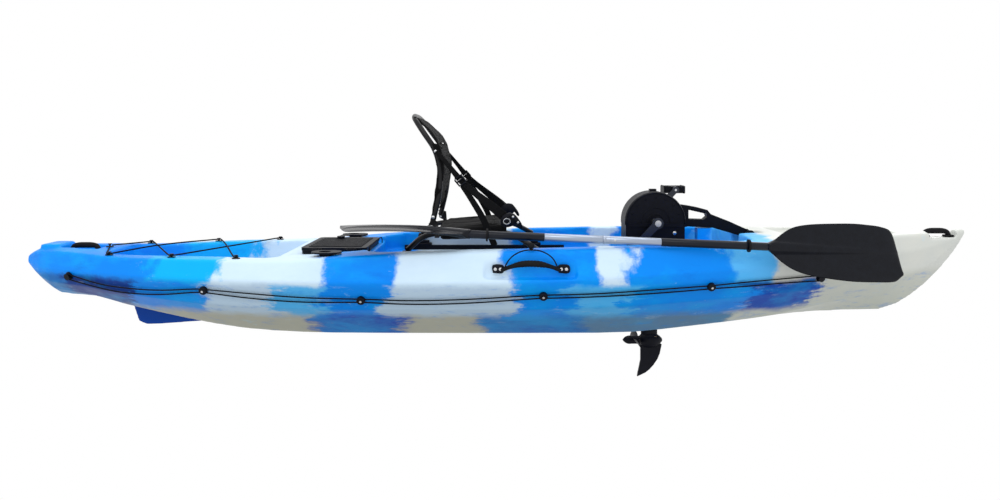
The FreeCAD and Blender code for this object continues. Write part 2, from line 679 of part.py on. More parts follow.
# ---------------------------------------------------------------- drive
HUB = Vector(dim("crank_forward"), 0, dim("crank_height"))
PIVOT = Vector(dim("pivot_forward"), 0, dim("pivot_height"))
PROP = Vector(dim("crank_forward"), 0, dim("prop_height"))
CRANK_ANGLES = {"port": 46, "starboard": 226}
BEARING_RADIUS = 17


def across(radius, width, centre, middle=0):
    """A solid cylinder lying across the boat."""
    return Part.makeCylinder(radius, width, centre + Vector(0, middle - width / 2, 0), Y_AXIS)


def make_case(upper):
    """Half of the drive case: the drum above the split, the gearbox trough below it."""
    radius, wall, width = dim("drum_radius"), dim("drum_wall"), dim("drum_width")
    split, bottom, length = dim("split_height"), dim("case_bottom"), dim("case_length")
    rear, half = 530, width / 2
    if upper:
        outer = across(radius, width, HUB)
        outer = outer.makeFillet(9, [e for e in outer.Edges if len(e.Vertexes) == 1])
        outer = outer.fuse(box(640, 668, -14, 14, HUB.z + radius - 8, HUB.z + radius + 9))
        inner = across(radius - wall, width - 2 * wall, HUB)
        keep = box(0, 1000, -200, 200, split + 0.1, 1000)
        flange = box(rear + 6, rear + length - 6, -half - 7, half + 7, split + 0.1, split + 7)
    else:
        outer = box(rear, rear + length, -half, half, bottom, split)
        outer = outer.makeFillet(22, [e for e in outer.Edges if e.CenterOfMass.z < bottom + 1])
        inner = box(rear + wall, rear + length - wall, -half + wall, half - wall,
                    bottom + wall, split + 1)
        inner = inner.makeFillet(22 - wall, [e for e in inner.Edges
                                             if e.CenterOfMass.z < bottom + wall + 1])
        keep = box(0, 1000, -200, 200, 0, split)
        flange = box(rear + 6, rear + length - 6, -half - 7, half + 7, split - 7, split)
    case = outer.fuse(rounded(flange, 12)).cut(inner)
    bosses = [across(BEARING_RADIUS + 6, 13, HUB, side * (half - 6.5)) for side in (1, -1)]
    case = case.fuse(bosses).common(keep)
    case = case.cut(across(BEARING_RADIUS + 0.05, 400, HUB))
    shaft_hole = Part.makeCylinder(dim("shaft_radius") + 0.05, 60, Vector(PROP.x, 0, bottom - 30))
    return case if upper else case.cut(shaft_hole)


def leg_section(z, half_length, half_width):
    oval = Part.Ellipse(Vector(639, 0, z), half_length, half_width)
    return Part.Wire(oval.toShape())


def make_leg():
    half_length, half_width = dim("leg_length") / 2, dim("leg_width") / 2
    top = dim("case_bottom") - 0.2
    leg = Part.makeLoft([leg_section(-20, half_length, half_width - 4),
                         leg_section(150, half_length, half_width),
                         leg_section(top, half_length + 6, half_width + 6)], True)
    return leg.cut(Part.makeCylinder(dim("shaft_radius") + 0.05, 500, Vector(PROP.x, 0, -60)))


def make_gearcase():
    """The torpedo round the lower gears, with the column above it and the fin below."""
    radius = dim("gearcase_radius")
    nose = Part.Arc(Vector(601, 0, PROP.z + 21), Vector(648, 0, PROP.z + radius),
                    Vector(694, 0, PROP.z + 6)).toShape()
    corners = [Vector(694, 0, PROP.z + 6), Vector(694, 0, PROP.z), Vector(601, 0, PROP.z),
               Vector(601, 0, PROP.z + 21)]
    profile = Part.Wire([nose] + Part.makePolygon(corners).Edges)
    torpedo = Part.Face(profile).revolve(PROP, X_AXIS, 360)
    column = Part.makeLoft([leg_section(PROP.z, dim("leg_length") / 2, dim("leg_width") / 2 - 6),
                            leg_section(-20.2, dim("leg_length") / 2, dim("leg_width") / 2 - 4)],
                           True)
    fin = polygon([(676, 0, -72), (692, 0, -84), (684, 0, -122), (674, 0, -146),
                   (657, 0, -171), (640, 0, -190), (622, 0, -204), (588, 0, -220),
                   (590, 0, -206), (595, 0, -185), (602, 0, -149), (602, 0, -72)])
    half = dim("fin_thickness") / 2
    fin.translate(Vector(0, -half, 0))
    solid = Part.Face(fin).extrude(Vector(0, 2 * half, 0)).fuse([torpedo, column])
    gear_room = Part.makeCylinder(25, 30, Vector(PROP.x, 0, PROP.z - 11))
    shaft_bore = Part.makeCylinder(dim("shaft_radius") + 0.05, 80, Vector(PROP.x, 0, PROP.z))
    prop_bore = Part.makeCylinder(dim("prop_shaft_radius") + 0.05, 100,
                                  PROP - Vector(100, 0, 0), X_AXIS)
    return solid.cut([gear_room, shaft_bore, prop_bore]).removeSplitter()


def face_gear(teeth, inner, outer, plate_low, plate_high, tooth_low, thickness, bore):
    """A crown gear about +Z: a flat plate with radial teeth that stand down from it. The
    first gap lies along +X."""
    gear = Part.makeCylinder(outer + 1, plate_high - plate_low, Vector(0, 0, plate_low))
    gear = gear.cut(Part.makeCylinder(bore, 50, Vector(0, 0, plate_low - 20)))
    made = []
    for number in range(teeth):
        tooth = box(inner, outer, -thickness / 2, thickness / 2, tooth_low, plate_low + 0.3)
        tooth.rotate(Vector(0, 0, 0), Z_AXIS, (number + 0.5) * 360 / teeth)
        made.append(tooth)
    return gear.fuse(made)


def spur_gear(teeth, root, tip, thickness, width, bore):
    """A small pinion about +Z, with a tooth along +X."""
    gear = Part.makeCylinder(root, width)
    made = []
    for number in range(teeth):
        tooth = box(root - 1, tip, -thickness / 2, thickness / 2, 0, width)
        tooth.rotate(Vector(0, 0, 0), Z_AXIS, number * 360 / teeth)
        made.append(tooth)
    return gear.fuse(made).cut(Part.makeCylinder(bore, width + 2, Vector(0, 0, -1)))


feature("drive_case_upper", make_case(True))
feature("drive_case_lower", make_case(False))
feature("drive_leg", make_leg())
feature("gearcase", make_gearcase())

ARM_OUTLINE = [(766, 513), (800, 509), (842, 501), (884, 490), (897, 473), (976, 442),
               (1040, 413), (1068, 402), (1078, 390), (1077, 377), (1066, 368), (1050, 370),
               (1015, 383), (905, 415), (800, 420), (779, 416), (779, 430), (785, 431),
               (785.5, 444), (783.5, 470), (776, 492)]
HAND_HOLE = [(803, 452), (803, 496), (842, 489), (876, 480), (882, 462), (868, 450)]
node(plate("drive_arm", ARM_OUTLINE, "arm_width", 0,
           holes=[(PIVOT.x, PIVOT.z, dim("pivot_radius") + gap)], windows=[HAND_HOLE]),
     "drive_arm")

pivot_pin = cylinder("PivotPin", "pivot_radius", "80", (PIVOT.x, -40, PIVOT.z), Y_AXIS)
CHEEK = [(1032, 344), (1092, 344), (1092, 352), (1078, 398), (1068, 405), (1052, 405),
         (1042, 398), (1032, 352)]
cheeks = [plate(f"pivot_cheek_{name}", CHEEK, "8", side * 28,
                holes=[(PIVOT.x, PIVOT.z, dim("pivot_radius") + gap)])
          for name, side in SIDES.items()]
group("drive_pivot_bracket", pivot_pin, *cheeks)
rest_block = block("RestBlock", "60", "48", "70.5", (840, -24, 342.3))
node(rest_block, "drive_rest")

case_screws = []
for side in (1, -1):
    for number in range(7):
        angle = math.radians(20 + 140 / 6 * number)
        place = HUB + Vector(104 * math.cos(angle), 0, 104 * math.sin(angle))
        start = place + Vector(0, side * (dim("drum_width") / 2 + 0.1), 0)
        case_screws.append(Part.makeCylinder(4, 2.5, start, Y_AXIS * side))
case_bolt = across(9, 5, Vector(734, 0, 397), -dim("drum_width") / 2 - 2.7)
leg_screws = [Part.makeCylinder(4.2, 2.2, Vector(x, -22.1, -10), -Y_AXIS) for x in (630, 645)]
feature("drive_screws", Part.makeCompound(case_screws + [case_bolt] + leg_screws))

half_drum = dim("drum_width") / 2
rings = [across(BEARING_RADIUS, 9, HUB, side * (half_drum - 6)).cut(
    across(dim("spindle_radius") + gap, 200, HUB)) for side in (1, -1)]
feature("spindle_bearings", Part.makeCompound(rings))

spindle_half = dim("crank_side") + dim("crank_thickness") / 2
spindle = cylinder("Spindle", "spindle_radius", "2 * crank_side + crank_thickness",
                   (HUB.x, -spindle_half, HUB.z), Y_AXIS)
bolt_heads = [cylinder(f"CrankBolt_{name}", "spindle_radius + 3", "4",
                       (HUB.x, side * (spindle_half + 0.1), HUB.z), Y_AXIS * side)
              for name, side in SIDES.items()]
group("crank_spindle", spindle, *bolt_heads)


def crank_arm(side_name):
    """A crank arm: a tapered bar between the spindle's boss and the pedal's boss."""
    side = SIDES[side_name]
    length, thick = dim("crank_length"), dim("crank_thickness")
    centre, end = Vector(0, 0, 0), Vector(length, 0, 0)
    boss = across(23, thick, centre).fuse(across(15, thick, end))
    bar = Part.Face(polygon([(0, 0, 17), (length, 0, 11.5), (length, 0, -11.5), (0, 0, -17)]))
    bar.translate(Vector(0, -thick / 2 + 1.5, 0))
    arm = boss.fuse(bar.extrude(Vector(0, thick - 3, 0)))
    arm = arm.cut([across(dim("spindle_radius") + gap, 60, centre),
                   across(dim("pedal_axle_radius") + gap, 60, end)])
    turn = Rotation(Y_AXIS, -CRANK_ANGLES[side_name])
    arm.Placement = Placement(HUB + Vector(0, side * dim("crank_side"), 0), turn)
    return arm


def pedal_centre(side_name):
    angle = math.radians(CRANK_ANGLES[side_name])
    reach = dim("crank_length")
    return HUB + Vector(reach * math.cos(angle), 0, reach * math.sin(angle))


def make_pedal(side_name):
    """A platform pedal: a frame with two windows and a barrel round its axle."""
    side = SIDES[side_name]
    length, width, thick = dim("pedal_length"), dim("pedal_width"), dim("pedal_thickness")
    inner = dim("crank_side") + dim("crank_thickness") / 2 + 5
    centre = pedal_centre(side_name) + Vector(0, side * (inner + width / 2), 0)
    x, y, z = centre
    body = rounded(box(x - length / 2, x + length / 2, y - width / 2, y + width / 2,
                       z - thick / 2, z + thick / 2), 12)
    for share in (1, -1):
        middle = x + share * 26
        window = rounded(box(middle - 13, middle + 13, y - width / 2 + 12,
                             y + width / 2 - 12, z - 50, z + 50), 6)
        body = body.cut(window)
    for share in (1, -1):
        for row in range(5):
            pin = Part.makeCylinder(2.2, thick + 5, Vector(x + share * (length / 2 - 5),
                                    y - width / 2 + 12 + row * 17, z - thick / 2 - 2.5))
            body = body.fuse(pin)
    return body.cut(across(dim("pedal_axle_radius") + gap, 2 * width, centre))


axles = []
for side_name, side in SIDES.items():
    start = pedal_centre(side_name) + Vector(0, side * (spindle_half - 12), 0)
    axles.append(cylinder(f"PedalAxle_{side_name}", "pedal_axle_radius", "pedal_width + 12",
                          tuple(start), Y_AXIS * side))
group("pedal_axles", *axles)
feature("crank_arms", Part.makeCompound([crank_arm(side_name) for side_name in SIDES]))
for side_name in SIDES:
    feature(f"pedal_{side_name}", make_pedal(side_name))

# The upper crown gear faces starboard across the boat, its teeth towards the centreline.
upper_gear = face_gear(int(dim("crown_teeth")), 62.5, 69.5, 21.2, 28, 16.2, 3.2,
                       dim("spindle_radius") + gap)
feature("crown_gear", upper_gear,
        Placement(HUB, Rotation(Vector(0, 0, -1), Vector(1, 0, 0), Y_AXIS, "ZXY")))
pinion = spur_gear(int(dim("pinion_teeth")), 14.5, dim("pinion_radius") + 2.5, 3.2, 14,
                   dim("shaft_radius") + gap)
feature("drive_pinion", pinion,
        Placement(Vector(PROP.x, 0, HUB.z - 73), Rotation(Z_AXIS, 90)))
feature("drive_shaft", Part.makeCylinder(dim("shaft_radius"), HUB.z - 57 - PROP.z - 12,
                                         Vector(PROP.x, 0, PROP.z + 12)))
lower_gear = face_gear(int(dim("lower_teeth")), 18.3, 21.7, 9.6, 13, 7.1, 1.3, 1.5)
lower_gear = lower_gear.cut(Part.makeCylinder(dim("shaft_radius") + gap, 10, Vector(0, 0, 12)))
feature("lower_crown_gear", lower_gear, Placement(PROP, Rotation(Z_AXIS, 180)))
lower_pinion = spur_gear(int(dim("lower_pinion_teeth")), 6.4,
                         dim("lower_pinion_radius") + 1.1, 1.3, 7,
                         dim("prop_shaft_radius") + gap)
feature("prop_pinion", lower_pinion,
        Placement(PROP - Vector(23.2, 0, 0), Rotation(Z_AXIS, Vector(0, 0, 0), X_AXIS, "ZXY")))
feature("prop_shaft", Part.makeCylinder(dim("prop_shaft_radius"), 86,
                                        PROP - Vector(100, 0, 0), X_AXIS))


def make_propeller():
    """A hub with two twisted blades that lie level at rest."""
    hub = Part.makeCylinder(dim("propeller_hub_radius"), 36, Vector(562.5, 0, PROP.z), X_AXIS)
    blades = []
    for side in (1, -1):
        rings = []
        for share, chord, twist, thick in ((0.1, 26, 62, 9), (0.35, 44, 48, 6.5),
                                           (0.65, 50, 34, 4.5), (0.88, 40, 26, 3.2),
                                           (1.0, 18, 22, 2)):
            angle = math.radians(twist * side)
            middle = Vector(580.5, side * share * dim("propeller_radius"), PROP.z)
            lay = Vector(math.sin(abs(angle)), 0, math.cos(angle) * side)
            face = Vector(math.cos(angle), 0, -math.sin(abs(angle)) * side)
            corners = [middle + lay * (chord / 2), middle + face * (thick / 2),
                       middle - lay * (chord / 2), middle - face * (thick / 2)]
            rings.append(polygon(corners))
        blades.append(Part.makeLoft(rings, True, False))
    return hub.fuse(blades).cut(Part.makeCylinder(dim("prop_shaft_radius") + gap, 80,
                                                  Vector(540, 0, PROP.z), X_AXIS))


def make_nose_cone():
    radius = dim("propeller_hub_radius")
    arc = Part.Arc(Vector(526, 0, PROP.z + 0.5), Vector(539, 0, PROP.z + radius * 0.78),
                   Vector(562.3, 0, PROP.z + radius)).toShape()
    corners = [Vector(562.3, 0, PROP.z + radius), Vector(562.3, 0, PROP.z),
               Vector(526, 0, PROP.z), Vector(526, 0, PROP.z + 0.5)]
    cone = Part.Face(Part.Wire([arc] + Part.makePolygon(corners).Edges))
    cone = cone.revolve(PROP, X_AXIS, 360)
    return cone.cut(Part.makeCylinder(dim("prop_shaft_radius") + gap, 40,
                                      Vector(554.8, 0, PROP.z), X_AXIS))


feature("propeller", make_propeller())
feature("prop_nose_cone", make_nose_cone())

# ---------------------------------------------------------------- seat
SEAT_BAR = [(-356, 302, 358), (-296, 222, 412), (44, 222, 421), (150, 302, 358)]
BACK_HINGE = Vector(dim("back_hinge_forward"), 0, dim("back_hinge_height"))
seat_bar = tube(SEAT_BAR, dim("seat_tube_radius"), "seat_bar")
side_bars = doc.addObject("Part::Feature", "SideBars")
side_bars.Shape = both_sides(seat_bar)
cross_half = dim("seat_side") - dim("seat_tube_radius") - 0.6
cross_bars = [cylinder(f"CrossBar{number}", "cross_tube_radius", f"{2 * cross_half}",
                       (x, -cross_half, z), Y_AXIS)
              for number, (x, z) in enumerate([(-245, 404), (-110, 404), (22, 404)])]
group("seat_frame", side_bars, *cross_bars)
feet = []
for name, side in SIDES.items():
    for end, x in (("rear", -391), ("front", 115)):
        feet.append(block(f"Foot_{name}_{end}", "foot_length", "foot_width", "foot_height",
                          (x, side * 302 - 18, dim("ledge_height") + 20.7)))
group("seat_feet", *feet)
HINGE_PLATE = [(-256, 398), (-238, 398), (-243, 462), (-262, 470), (-280, 455), (-272, 433),
               (-257, 426)]
hinge_plates = [plate(f"seat_hinge_{name}", HINGE_PLATE, "4", side * 236.5,
                      holes=[(BACK_HINGE.x, BACK_HINGE.z, 5 + gap)])
                for name, side in SIDES.items()]
frame_bolts = [cylinder(f"FrameBolt_{name}", "7", "3", (-247, side * 239, 407),
                        Y_AXIS * side) for name, side in SIDES.items()]
group("seat_hinge_plates", *hinge_plates, *frame_bolts)
pad_length = dim("seat_pad_length")
seat_pad = block("SeatPad", "seat_pad_length", "seat_pad_width", "seat_pad_thickness",
                 (-262, -dim("seat_pad_width") / 2, 418))
node(seat_pad, "seat_pad")

BACK_TUBE = [(-268, 222, 448), (-240, 222, 560), (-231, 222, 655), (-254, 221, 748),
             (-302, 212, 815), (-342, 172, 872), (-352, 88, 886), (-352, -88, 886),
             (-342, -172, 872), (-302, -212, 815), (-254, -221, 748), (-231, -222, 655),
             (-240, -222, 560), (-268, -222, 448)]
feature("backrest_frame", tube(BACK_TUBE, dim("seat_tube_radius"), "backrest_frame"))
back_bolts = []
for side in (1, -1):
    shank = Part.makeCylinder(5, 9.5, Vector(BACK_HINGE.x, side * 229.5, BACK_HINGE.z),
                              Y_AXIS * side)
    head = Part.makeCylinder(8.5, 3.5, Vector(BACK_HINGE.x, side * 239, BACK_HINGE.z),
                             Y_AXIS * side)
    back_bolts.append(shank.fuse(head))
feature("backrest_pivot_bolts", Part.makeCompound(back_bolts))
BACK_PAD = [(-260, 474), (-245, 520), (-222, 590), (-208, 650), (-210, 700), (-224, 746),
            (-246, 742), (-236, 700), (-231, 650), (-240, 590), (-260, 520), (-274, 480)]
node(plate("backrest_pad", BACK_PAD, "seat_pad_width", 0), "backrest_pad")
HEADREST = [(-222, 752), (-240, 790), (-272, 826), (-306, 854), (-326, 868), (-331, 861),
            (-311, 847), (-279, 817), (-250, 784), (-234, 750)]
node(plate("headrest", HEADREST, "seat_pad_width - 100", 0), "headrest")

UPPER_STRAP = [(-205, 712), (-213, 690), (-172, 622), (-160, 630)]
SIDE_STRAP = [(-166, 619), (-148, 631), (46, 489), (20, 456)]
DOWN_STRAP = [(-160, 600), (-140, 606), (-6, 372), (-26, 362)]
straps = []
for run, outline, shift in (("upper", UPPER_STRAP, 8), ("side", SIDE_STRAP, 8),
                            ("down", DOWN_STRAP, 13)):
    straps += [plate(f"strap_{run}_{name}", outline, "strap_thickness",
                     side * (dim("strap_side") + shift)) for name, side in SIDES.items()]
group("recline_straps", *straps)
BUCKLE = [(-188, 640), (-168, 652), (-136, 606), (-156, 594)]
buckles = [plate(f"strap_buckle_{name}", BUCKLE, "3", side * (dim("strap_side") + 3.8))
           for name, side in SIDES.items()]
CAM = [(14, 448), (66, 462), (64, 488), (40, 496), (16, 484)]
cams = [plate(f"strap_cam_{name}", CAM, "12", side * (dim("strap_side") - 1.5))
        for name, side in SIDES.items()]
group("strap_buckles", *buckles, *cams)

# ---------------------------------------------------------------- paddle
# The paddle lies along the starboard gunwale, resting on it and on the park ball, and is
# lifted off for use. Its line falls a little towards the bow.
PADDLE_REST = Vector(620, -387, 399.5)
PADDLE_SLOPE, PADDLE_YAW = 0.040, -0.012
PADDLE_LINE = Vector(1, PADDLE_YAW, -PADDLE_SLOPE).normalize()
STERN_TIP, MIDDLE, BOW_THROAT, BOW_TIP = -1240, -230, 390, 900
FERRULE_HALF, DRIP_RING_RADIUS, DRIP_RING_WIDTH = 80, 24, 7


def along_paddle(distance):
    return PADDLE_REST + PADDLE_LINE * distance


# Outline of a blade: distance from its throat as a share of its length, then how far its long
# and its short edge stand from the shaft's line as shares of its width.
BLADE_OUTLINE = [(0, 0.06, 0.06), (0.046, 0.148, 0.125), (0.095, 0.245, 0.23),
                 (0.16, 0.347, 0.338), (0.24, 0.426, 0.398), (0.36, 0.486, 0.435),
                 (0.577, 0.537, 0.463), (0.70, 0.546, 0.454), (0.825, 0.542, 0.421),
                 (0.90, 0.537, 0.329), (0.956, 0.514, -0.02), (1.0, 0.417, -0.347)]
BLADE_BOW = 14


def make_blade(throat, tip, flat):
    """A spoon-shaped blade with one longer edge. Its flat side faces across the boat, or up
    when flat."""
    length, width, thick = dim("blade_length"), dim("blade_width"), dim("blade_thickness")
    toward = 1 if tip > throat else -1
    rings = []
    for share, long_edge, short_edge in BLADE_OUTLINE:
        half = (long_edge + short_edge) * width / 2
        middle = (short_edge - long_edge) * width / 2
        bow = BLADE_BOW * math.sin(math.pi * share)
        place = throat + toward * share * length
        rings.append([(place, bow + lift * thick / 2, middle + reach * half)
                      for lift, reach in ((0, 1), (-1, 0.55), (-1, -0.55), (0, -1),
                                          (1, -0.55), (1, 0.55))])
    up = Vector(0, -1, 0) if flat else Vector(0, 0, 1)
    sideways = PADDLE_LINE.cross(up).normalize()
    up = sideways.cross(PADDLE_LINE).normalize()
    if flat:
        sideways = -sideways
    wires = [polygon([along_paddle(a) + sideways * b + up * c for a, b, c in ring])
             for ring in rings]
    return Part.makeLoft(wires, True, True)


def shaft(start, end, radius):
    return Part.makeCylinder(radius, end - start, along_paddle(start), PADDLE_LINE)


tube_radius = dim("paddle_shaft_radius")
stern_throat = STERN_TIP + dim("blade_length")
feature("paddle_blade_bow", make_blade(BOW_THROAT + 1, BOW_TIP + 1, False))
feature("paddle_blade_stern", make_blade(stern_throat - 1, STERN_TIP - 1, True))
socket_reach = FERRULE_HALF + 10
feature("paddle_shaft_bow", shaft(MIDDLE + 0.3, BOW_THROAT, tube_radius).cut(
    shaft(MIDDLE - 1, MIDDLE + socket_reach, tube_radius - 2)))
feature("paddle_shaft_stern", shaft(stern_throat, MIDDLE, tube_radius).cut(
    shaft(MIDDLE - socket_reach, MIDDLE + 1, tube_radius - 2)))
feature("paddle_ferrule", shaft(MIDDLE - FERRULE_HALF, MIDDLE + FERRULE_HALF,
                                tube_radius - 2 - gap))
drip_rings = [shaft(place, place + DRIP_RING_WIDTH, DRIP_RING_RADIUS).cut(
    shaft(place - 1, place + DRIP_RING_WIDTH + 1, tube_radius + gap))
              for place in (stern_throat + 60, BOW_THROAT - 74)]
feature("paddle_drip_rings", Part.makeCompound(drip_rings))

# ---------------------------------------------------------------- export
doc.recompute()
for thing in doc.Objects:
    if "Invalid" in thing.State or "Error" in thing.State:
        raise RuntimeError(f"{thing.Label}: {thing.State}")
for thing in nodes:
    shape = thing.Shape
    if shape.isNull() or not shape.isValid() or not shape.Solids:
        raise RuntimeError(f"{thing.Label} has no valid solid")
os.makedirs("parts", exist_ok=True)
for thing in nodes:
    thing.Shape.exportStep(f"parts/{thing.Label}.step")
print(len(nodes), "sub-parts")
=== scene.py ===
"""Pedal-drive kayak: the looks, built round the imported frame. Metres, +X bow, +Y port, +Z up."""

import json
import math

import bmesh
import bpy
from mathutils import Matrix, Vector, noise
from mathutils.bvhtree import BVHTree


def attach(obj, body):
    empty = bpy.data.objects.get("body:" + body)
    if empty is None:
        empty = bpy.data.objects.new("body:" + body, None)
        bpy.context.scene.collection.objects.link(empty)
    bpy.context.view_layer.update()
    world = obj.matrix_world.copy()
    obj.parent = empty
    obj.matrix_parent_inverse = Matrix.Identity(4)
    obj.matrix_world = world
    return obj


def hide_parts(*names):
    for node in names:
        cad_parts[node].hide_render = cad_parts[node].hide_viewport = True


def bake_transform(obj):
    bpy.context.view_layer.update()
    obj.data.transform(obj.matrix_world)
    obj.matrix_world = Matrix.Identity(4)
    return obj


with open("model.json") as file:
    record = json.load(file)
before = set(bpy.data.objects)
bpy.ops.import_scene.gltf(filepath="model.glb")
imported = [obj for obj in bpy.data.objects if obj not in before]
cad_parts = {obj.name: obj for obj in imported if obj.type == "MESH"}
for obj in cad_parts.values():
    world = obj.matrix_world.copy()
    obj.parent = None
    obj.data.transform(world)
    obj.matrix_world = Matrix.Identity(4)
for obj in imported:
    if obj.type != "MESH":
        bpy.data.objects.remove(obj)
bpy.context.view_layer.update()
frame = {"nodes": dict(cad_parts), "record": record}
record = frame["record"]
BODY_OF = {node: body for body, nodes in record["behaviour"]["bodies"].items()
           for node in nodes}
PORT, STARBOARD = 1, -1


# ---------------------------------------------------------------- camera, light and backdrop
CAMERA_PLACE, LENS, LENS_SHIFT = (0.003, -3.3, 0.766), 27.83, -0.105


def make_camera():
    """Abeam to starboard and a little above the deck. The lens is shifted down, so upright
    lines stay upright."""
    data = bpy.data.cameras.new("camera")
    data.lens = LENS
    data.shift_y = LENS_SHIFT
    camera = bpy.data.objects.new("camera", data)
    camera.location = CAMERA_PLACE
    camera.rotation_euler = (math.radians(90), 0, 0)
    bpy.context.scene.collection.objects.link(camera)
    bpy.context.scene.camera = camera


def area_light(name, place, target, size, power, colour=(1, 1, 1)):
    data = bpy.data.lights.new(name, "AREA")
    data.shape = "RECTANGLE"
    data.size, data.size_y = size
    data.energy = power
    data.color = colour
    light = bpy.data.objects.new(name, data)
    light.location = place
    aim = Vector(target) - Vector(place)
    light.rotation_euler = aim.to_track_quat("-Z", "Y").to_euler()
    bpy.context.scene.collection.objects.link(light)


def make_studio():
    """A white cove that darkens only far below, so the boat's underside has shade."""
    world = bpy.data.worlds.new("studio")
    world.use_nodes = True
    tree = world.node_tree
    place = tree.nodes.new("ShaderNodeTexCoord")
    split = tree.nodes.new("ShaderNodeSeparateXYZ")
    tree.links.new(place.outputs["Generated"], split.inputs["Vector"])
    fade = tree.nodes.new("ShaderNodeMapRange")
    fade.inputs["From Min"].default_value = -1.0
    fade.inputs["From Max"].default_value = -0.62
    fade.inputs["To Min"].default_value = 0.22
    fade.inputs["To Max"].default_value = 1.0
    tree.links.new(split.outputs["Z"], fade.inputs["Value"])
    back = tree.nodes["Background"]
    back.inputs["Color"].default_value = (1, 1, 1, 1)
    tree.links.new(fade.outputs["Result"], back.inputs["Strength"])
    bpy.context.scene.world = world
    area_light("key", (-1.2, -3.0, 3.4), (0, 0, 0.2), (3.0, 1.2), 34)
    area_light("top", (0.5, 0.6, 3.0), (0, 0, 0.2), (4.5, 1.4), 30)
    area_light("rim", (2.6, 2.2, 1.4), (0.4, 0, 0.3), (1.4, 1.4), 12)
    bpy.context.scene.view_settings.view_transform = "Standard"


# ---------------------------------------------------------------- material kit
class Nodes:
    """A short way to wire one material's node tree."""

    def __init__(self, name):
        self.material = bpy.data.materials.new(name)
        self.material.use_nodes = True
        self.tree = self.material.node_tree
        self.shader = self.tree.nodes["Principled BSDF"]
        self.place = self.tree.nodes.new("ShaderNodeTexCoord").outputs["Object"]

    def add(self, kind, **settings):
        node = self.tree.nodes.new("ShaderNode" + kind)
        for key, value in settings.items():
            setattr(node, key, value)
        return node

    def wire(self, source, target):
        self.tree.links.new(source, target)

    def scaled(self, scale, turn=(0, 0, 0)):
        """The object's own coordinates, stretched."""
        mapping = self.add("Mapping")
        mapping.inputs["Scale"].default_value = scale
        mapping.inputs["Rotation"].default_value = turn
        self.wire(self.place, mapping.inputs["Vector"])
        return mapping.outputs["Vector"]

    def noise(self, scale, detail=3, rough=0.55, vector=None):
        node = self.add("TexNoise")
        node.inputs["Scale"].default_value = scale
        node.inputs["Detail"].default_value = detail
        node.inputs["Roughness"].default_value = rough
        self.wire(vector or self.place, node.inputs["Vector"])
        return node.outputs["Fac"]

    def cells(self, scale, vector=None):
        node = self.add("TexVoronoi")
        node.inputs["Scale"].default_value = scale
        self.wire(vector or self.place, node.inputs["Vector"])
        return node.outputs["Distance"]

    def wave(self, scale, direction="X", vector=None):
        node = self.add("TexWave", bands_direction=direction)
        node.inputs["Scale"].default_value = scale
        self.wire(vector or self.place, node.inputs["Vector"])
        return node.outputs["Fac"]

    def math(self, how, first, second=0.5):
        node = self.add("Math", operation=how)
        for socket, value in zip(node.inputs, (first, second)):
            if isinstance(value, (int, float)):
                socket.default_value = value
            else:
                self.wire(value, socket)
        return node.outputs["Value"]

    def times(self, first, *others):
        for other in others:
            first = self.math("MULTIPLY", first, other)
        return first

    def centred(self, source, reach):
        """The source, moved from 0..1 to be even about zero, and that wide."""
        return self.times(self.math("SUBTRACT", source, 0.5), reach)

    def ramp(self, source, stops, smooth="LINEAR"):
        """A colour ramp. Each stop is (place, colour)."""
        node = self.add("ValToRGB")
        node.color_ramp.interpolation = smooth
        while len(node.color_ramp.elements) < len(stops):
            node.color_ramp.elements.new(0.5)
        for element, (place, colour) in zip(node.color_ramp.elements, stops):
            element.position = place
            element.color = (*colour, 1) if len(colour) == 3 else colour
        self.wire(source, node.inputs["Fac"])
        return node.outputs["Color"]

    def mask(self, source, start, end):
        """Black up to start and white from end on."""
        return self.ramp(source, [(start, (0, 0, 0)), (end, (1, 1, 1))])

    def mix(self, factor, first, second, how="MIX"):
        node = self.add("Mix", data_type="RGBA", blend_type=how)
        for socket, value in zip((node.inputs[0], node.inputs[6], node.inputs[7]),
                                 (factor, first, second)):
            if isinstance(value, (int, float)):
                socket.default_value = value
            elif isinstance(value, tuple):
                socket.default_value = (*value, 1)
            else:
                self.wire(value, socket)
        return node.outputs[2]

    def redness(self, colour):
        """How much red a colour has, which is near zero only in the blues."""
        parts = self.add("SeparateColor")
        self.wire(colour, parts.inputs["Color"])
        return self.math("MINIMUM", 1.0, self.math("MULTIPLY", parts.outputs["Red"], 4.0))

    def spread(self, source, low, high):
        """The source, moved from 0..1 to low..high."""
        node = self.add("MapRange")
        node.inputs["To Min"].default_value = low
        node.inputs["To Max"].default_value = high
        self.wire(source, node.inputs["Value"])
        return node.outputs["Result"]

    def bump(self, height, strength, distance=0.001):
        node = self.add("Bump")
        node.inputs["Strength"].default_value = strength
        node.inputs["Distance"].default_value = distance
        self.wire(height, node.inputs["Height"])
        self.wire(node.outputs["Normal"], self.shader.inputs["Normal"])

    def set(self, socket, value):
        if isinstance(value, (int, float)):
            self.shader.inputs[socket].default_value = value
        elif isinstance(value, tuple):
            self.shader.inputs[socket].default_value = (*value, 1)
        else:
            self.wire(value, self.shader.inputs[socket])


AZURE, CYAN, NAVY = (0.0, 0.265, 0.95), (0.0, 0.46, 0.97), (0.0, 0.072, 0.50)
DEEP, STEEL = (0.001, 0.045, 0.30), (0.010, 0.165, 0.56)
PALE, MILK, CREAM = (0.66, 0.83, 0.98), (0.53, 0.68, 0.86), (0.50, 0.49, 0.42)
SHELL, SKY, SMOKE = (0.68, 0.69, 0.64), (0.10, 0.49, 0.96), (0.11, 0.24, 0.42)
HULL_REAR, HULL_LENGTH = -1.99, 3.98


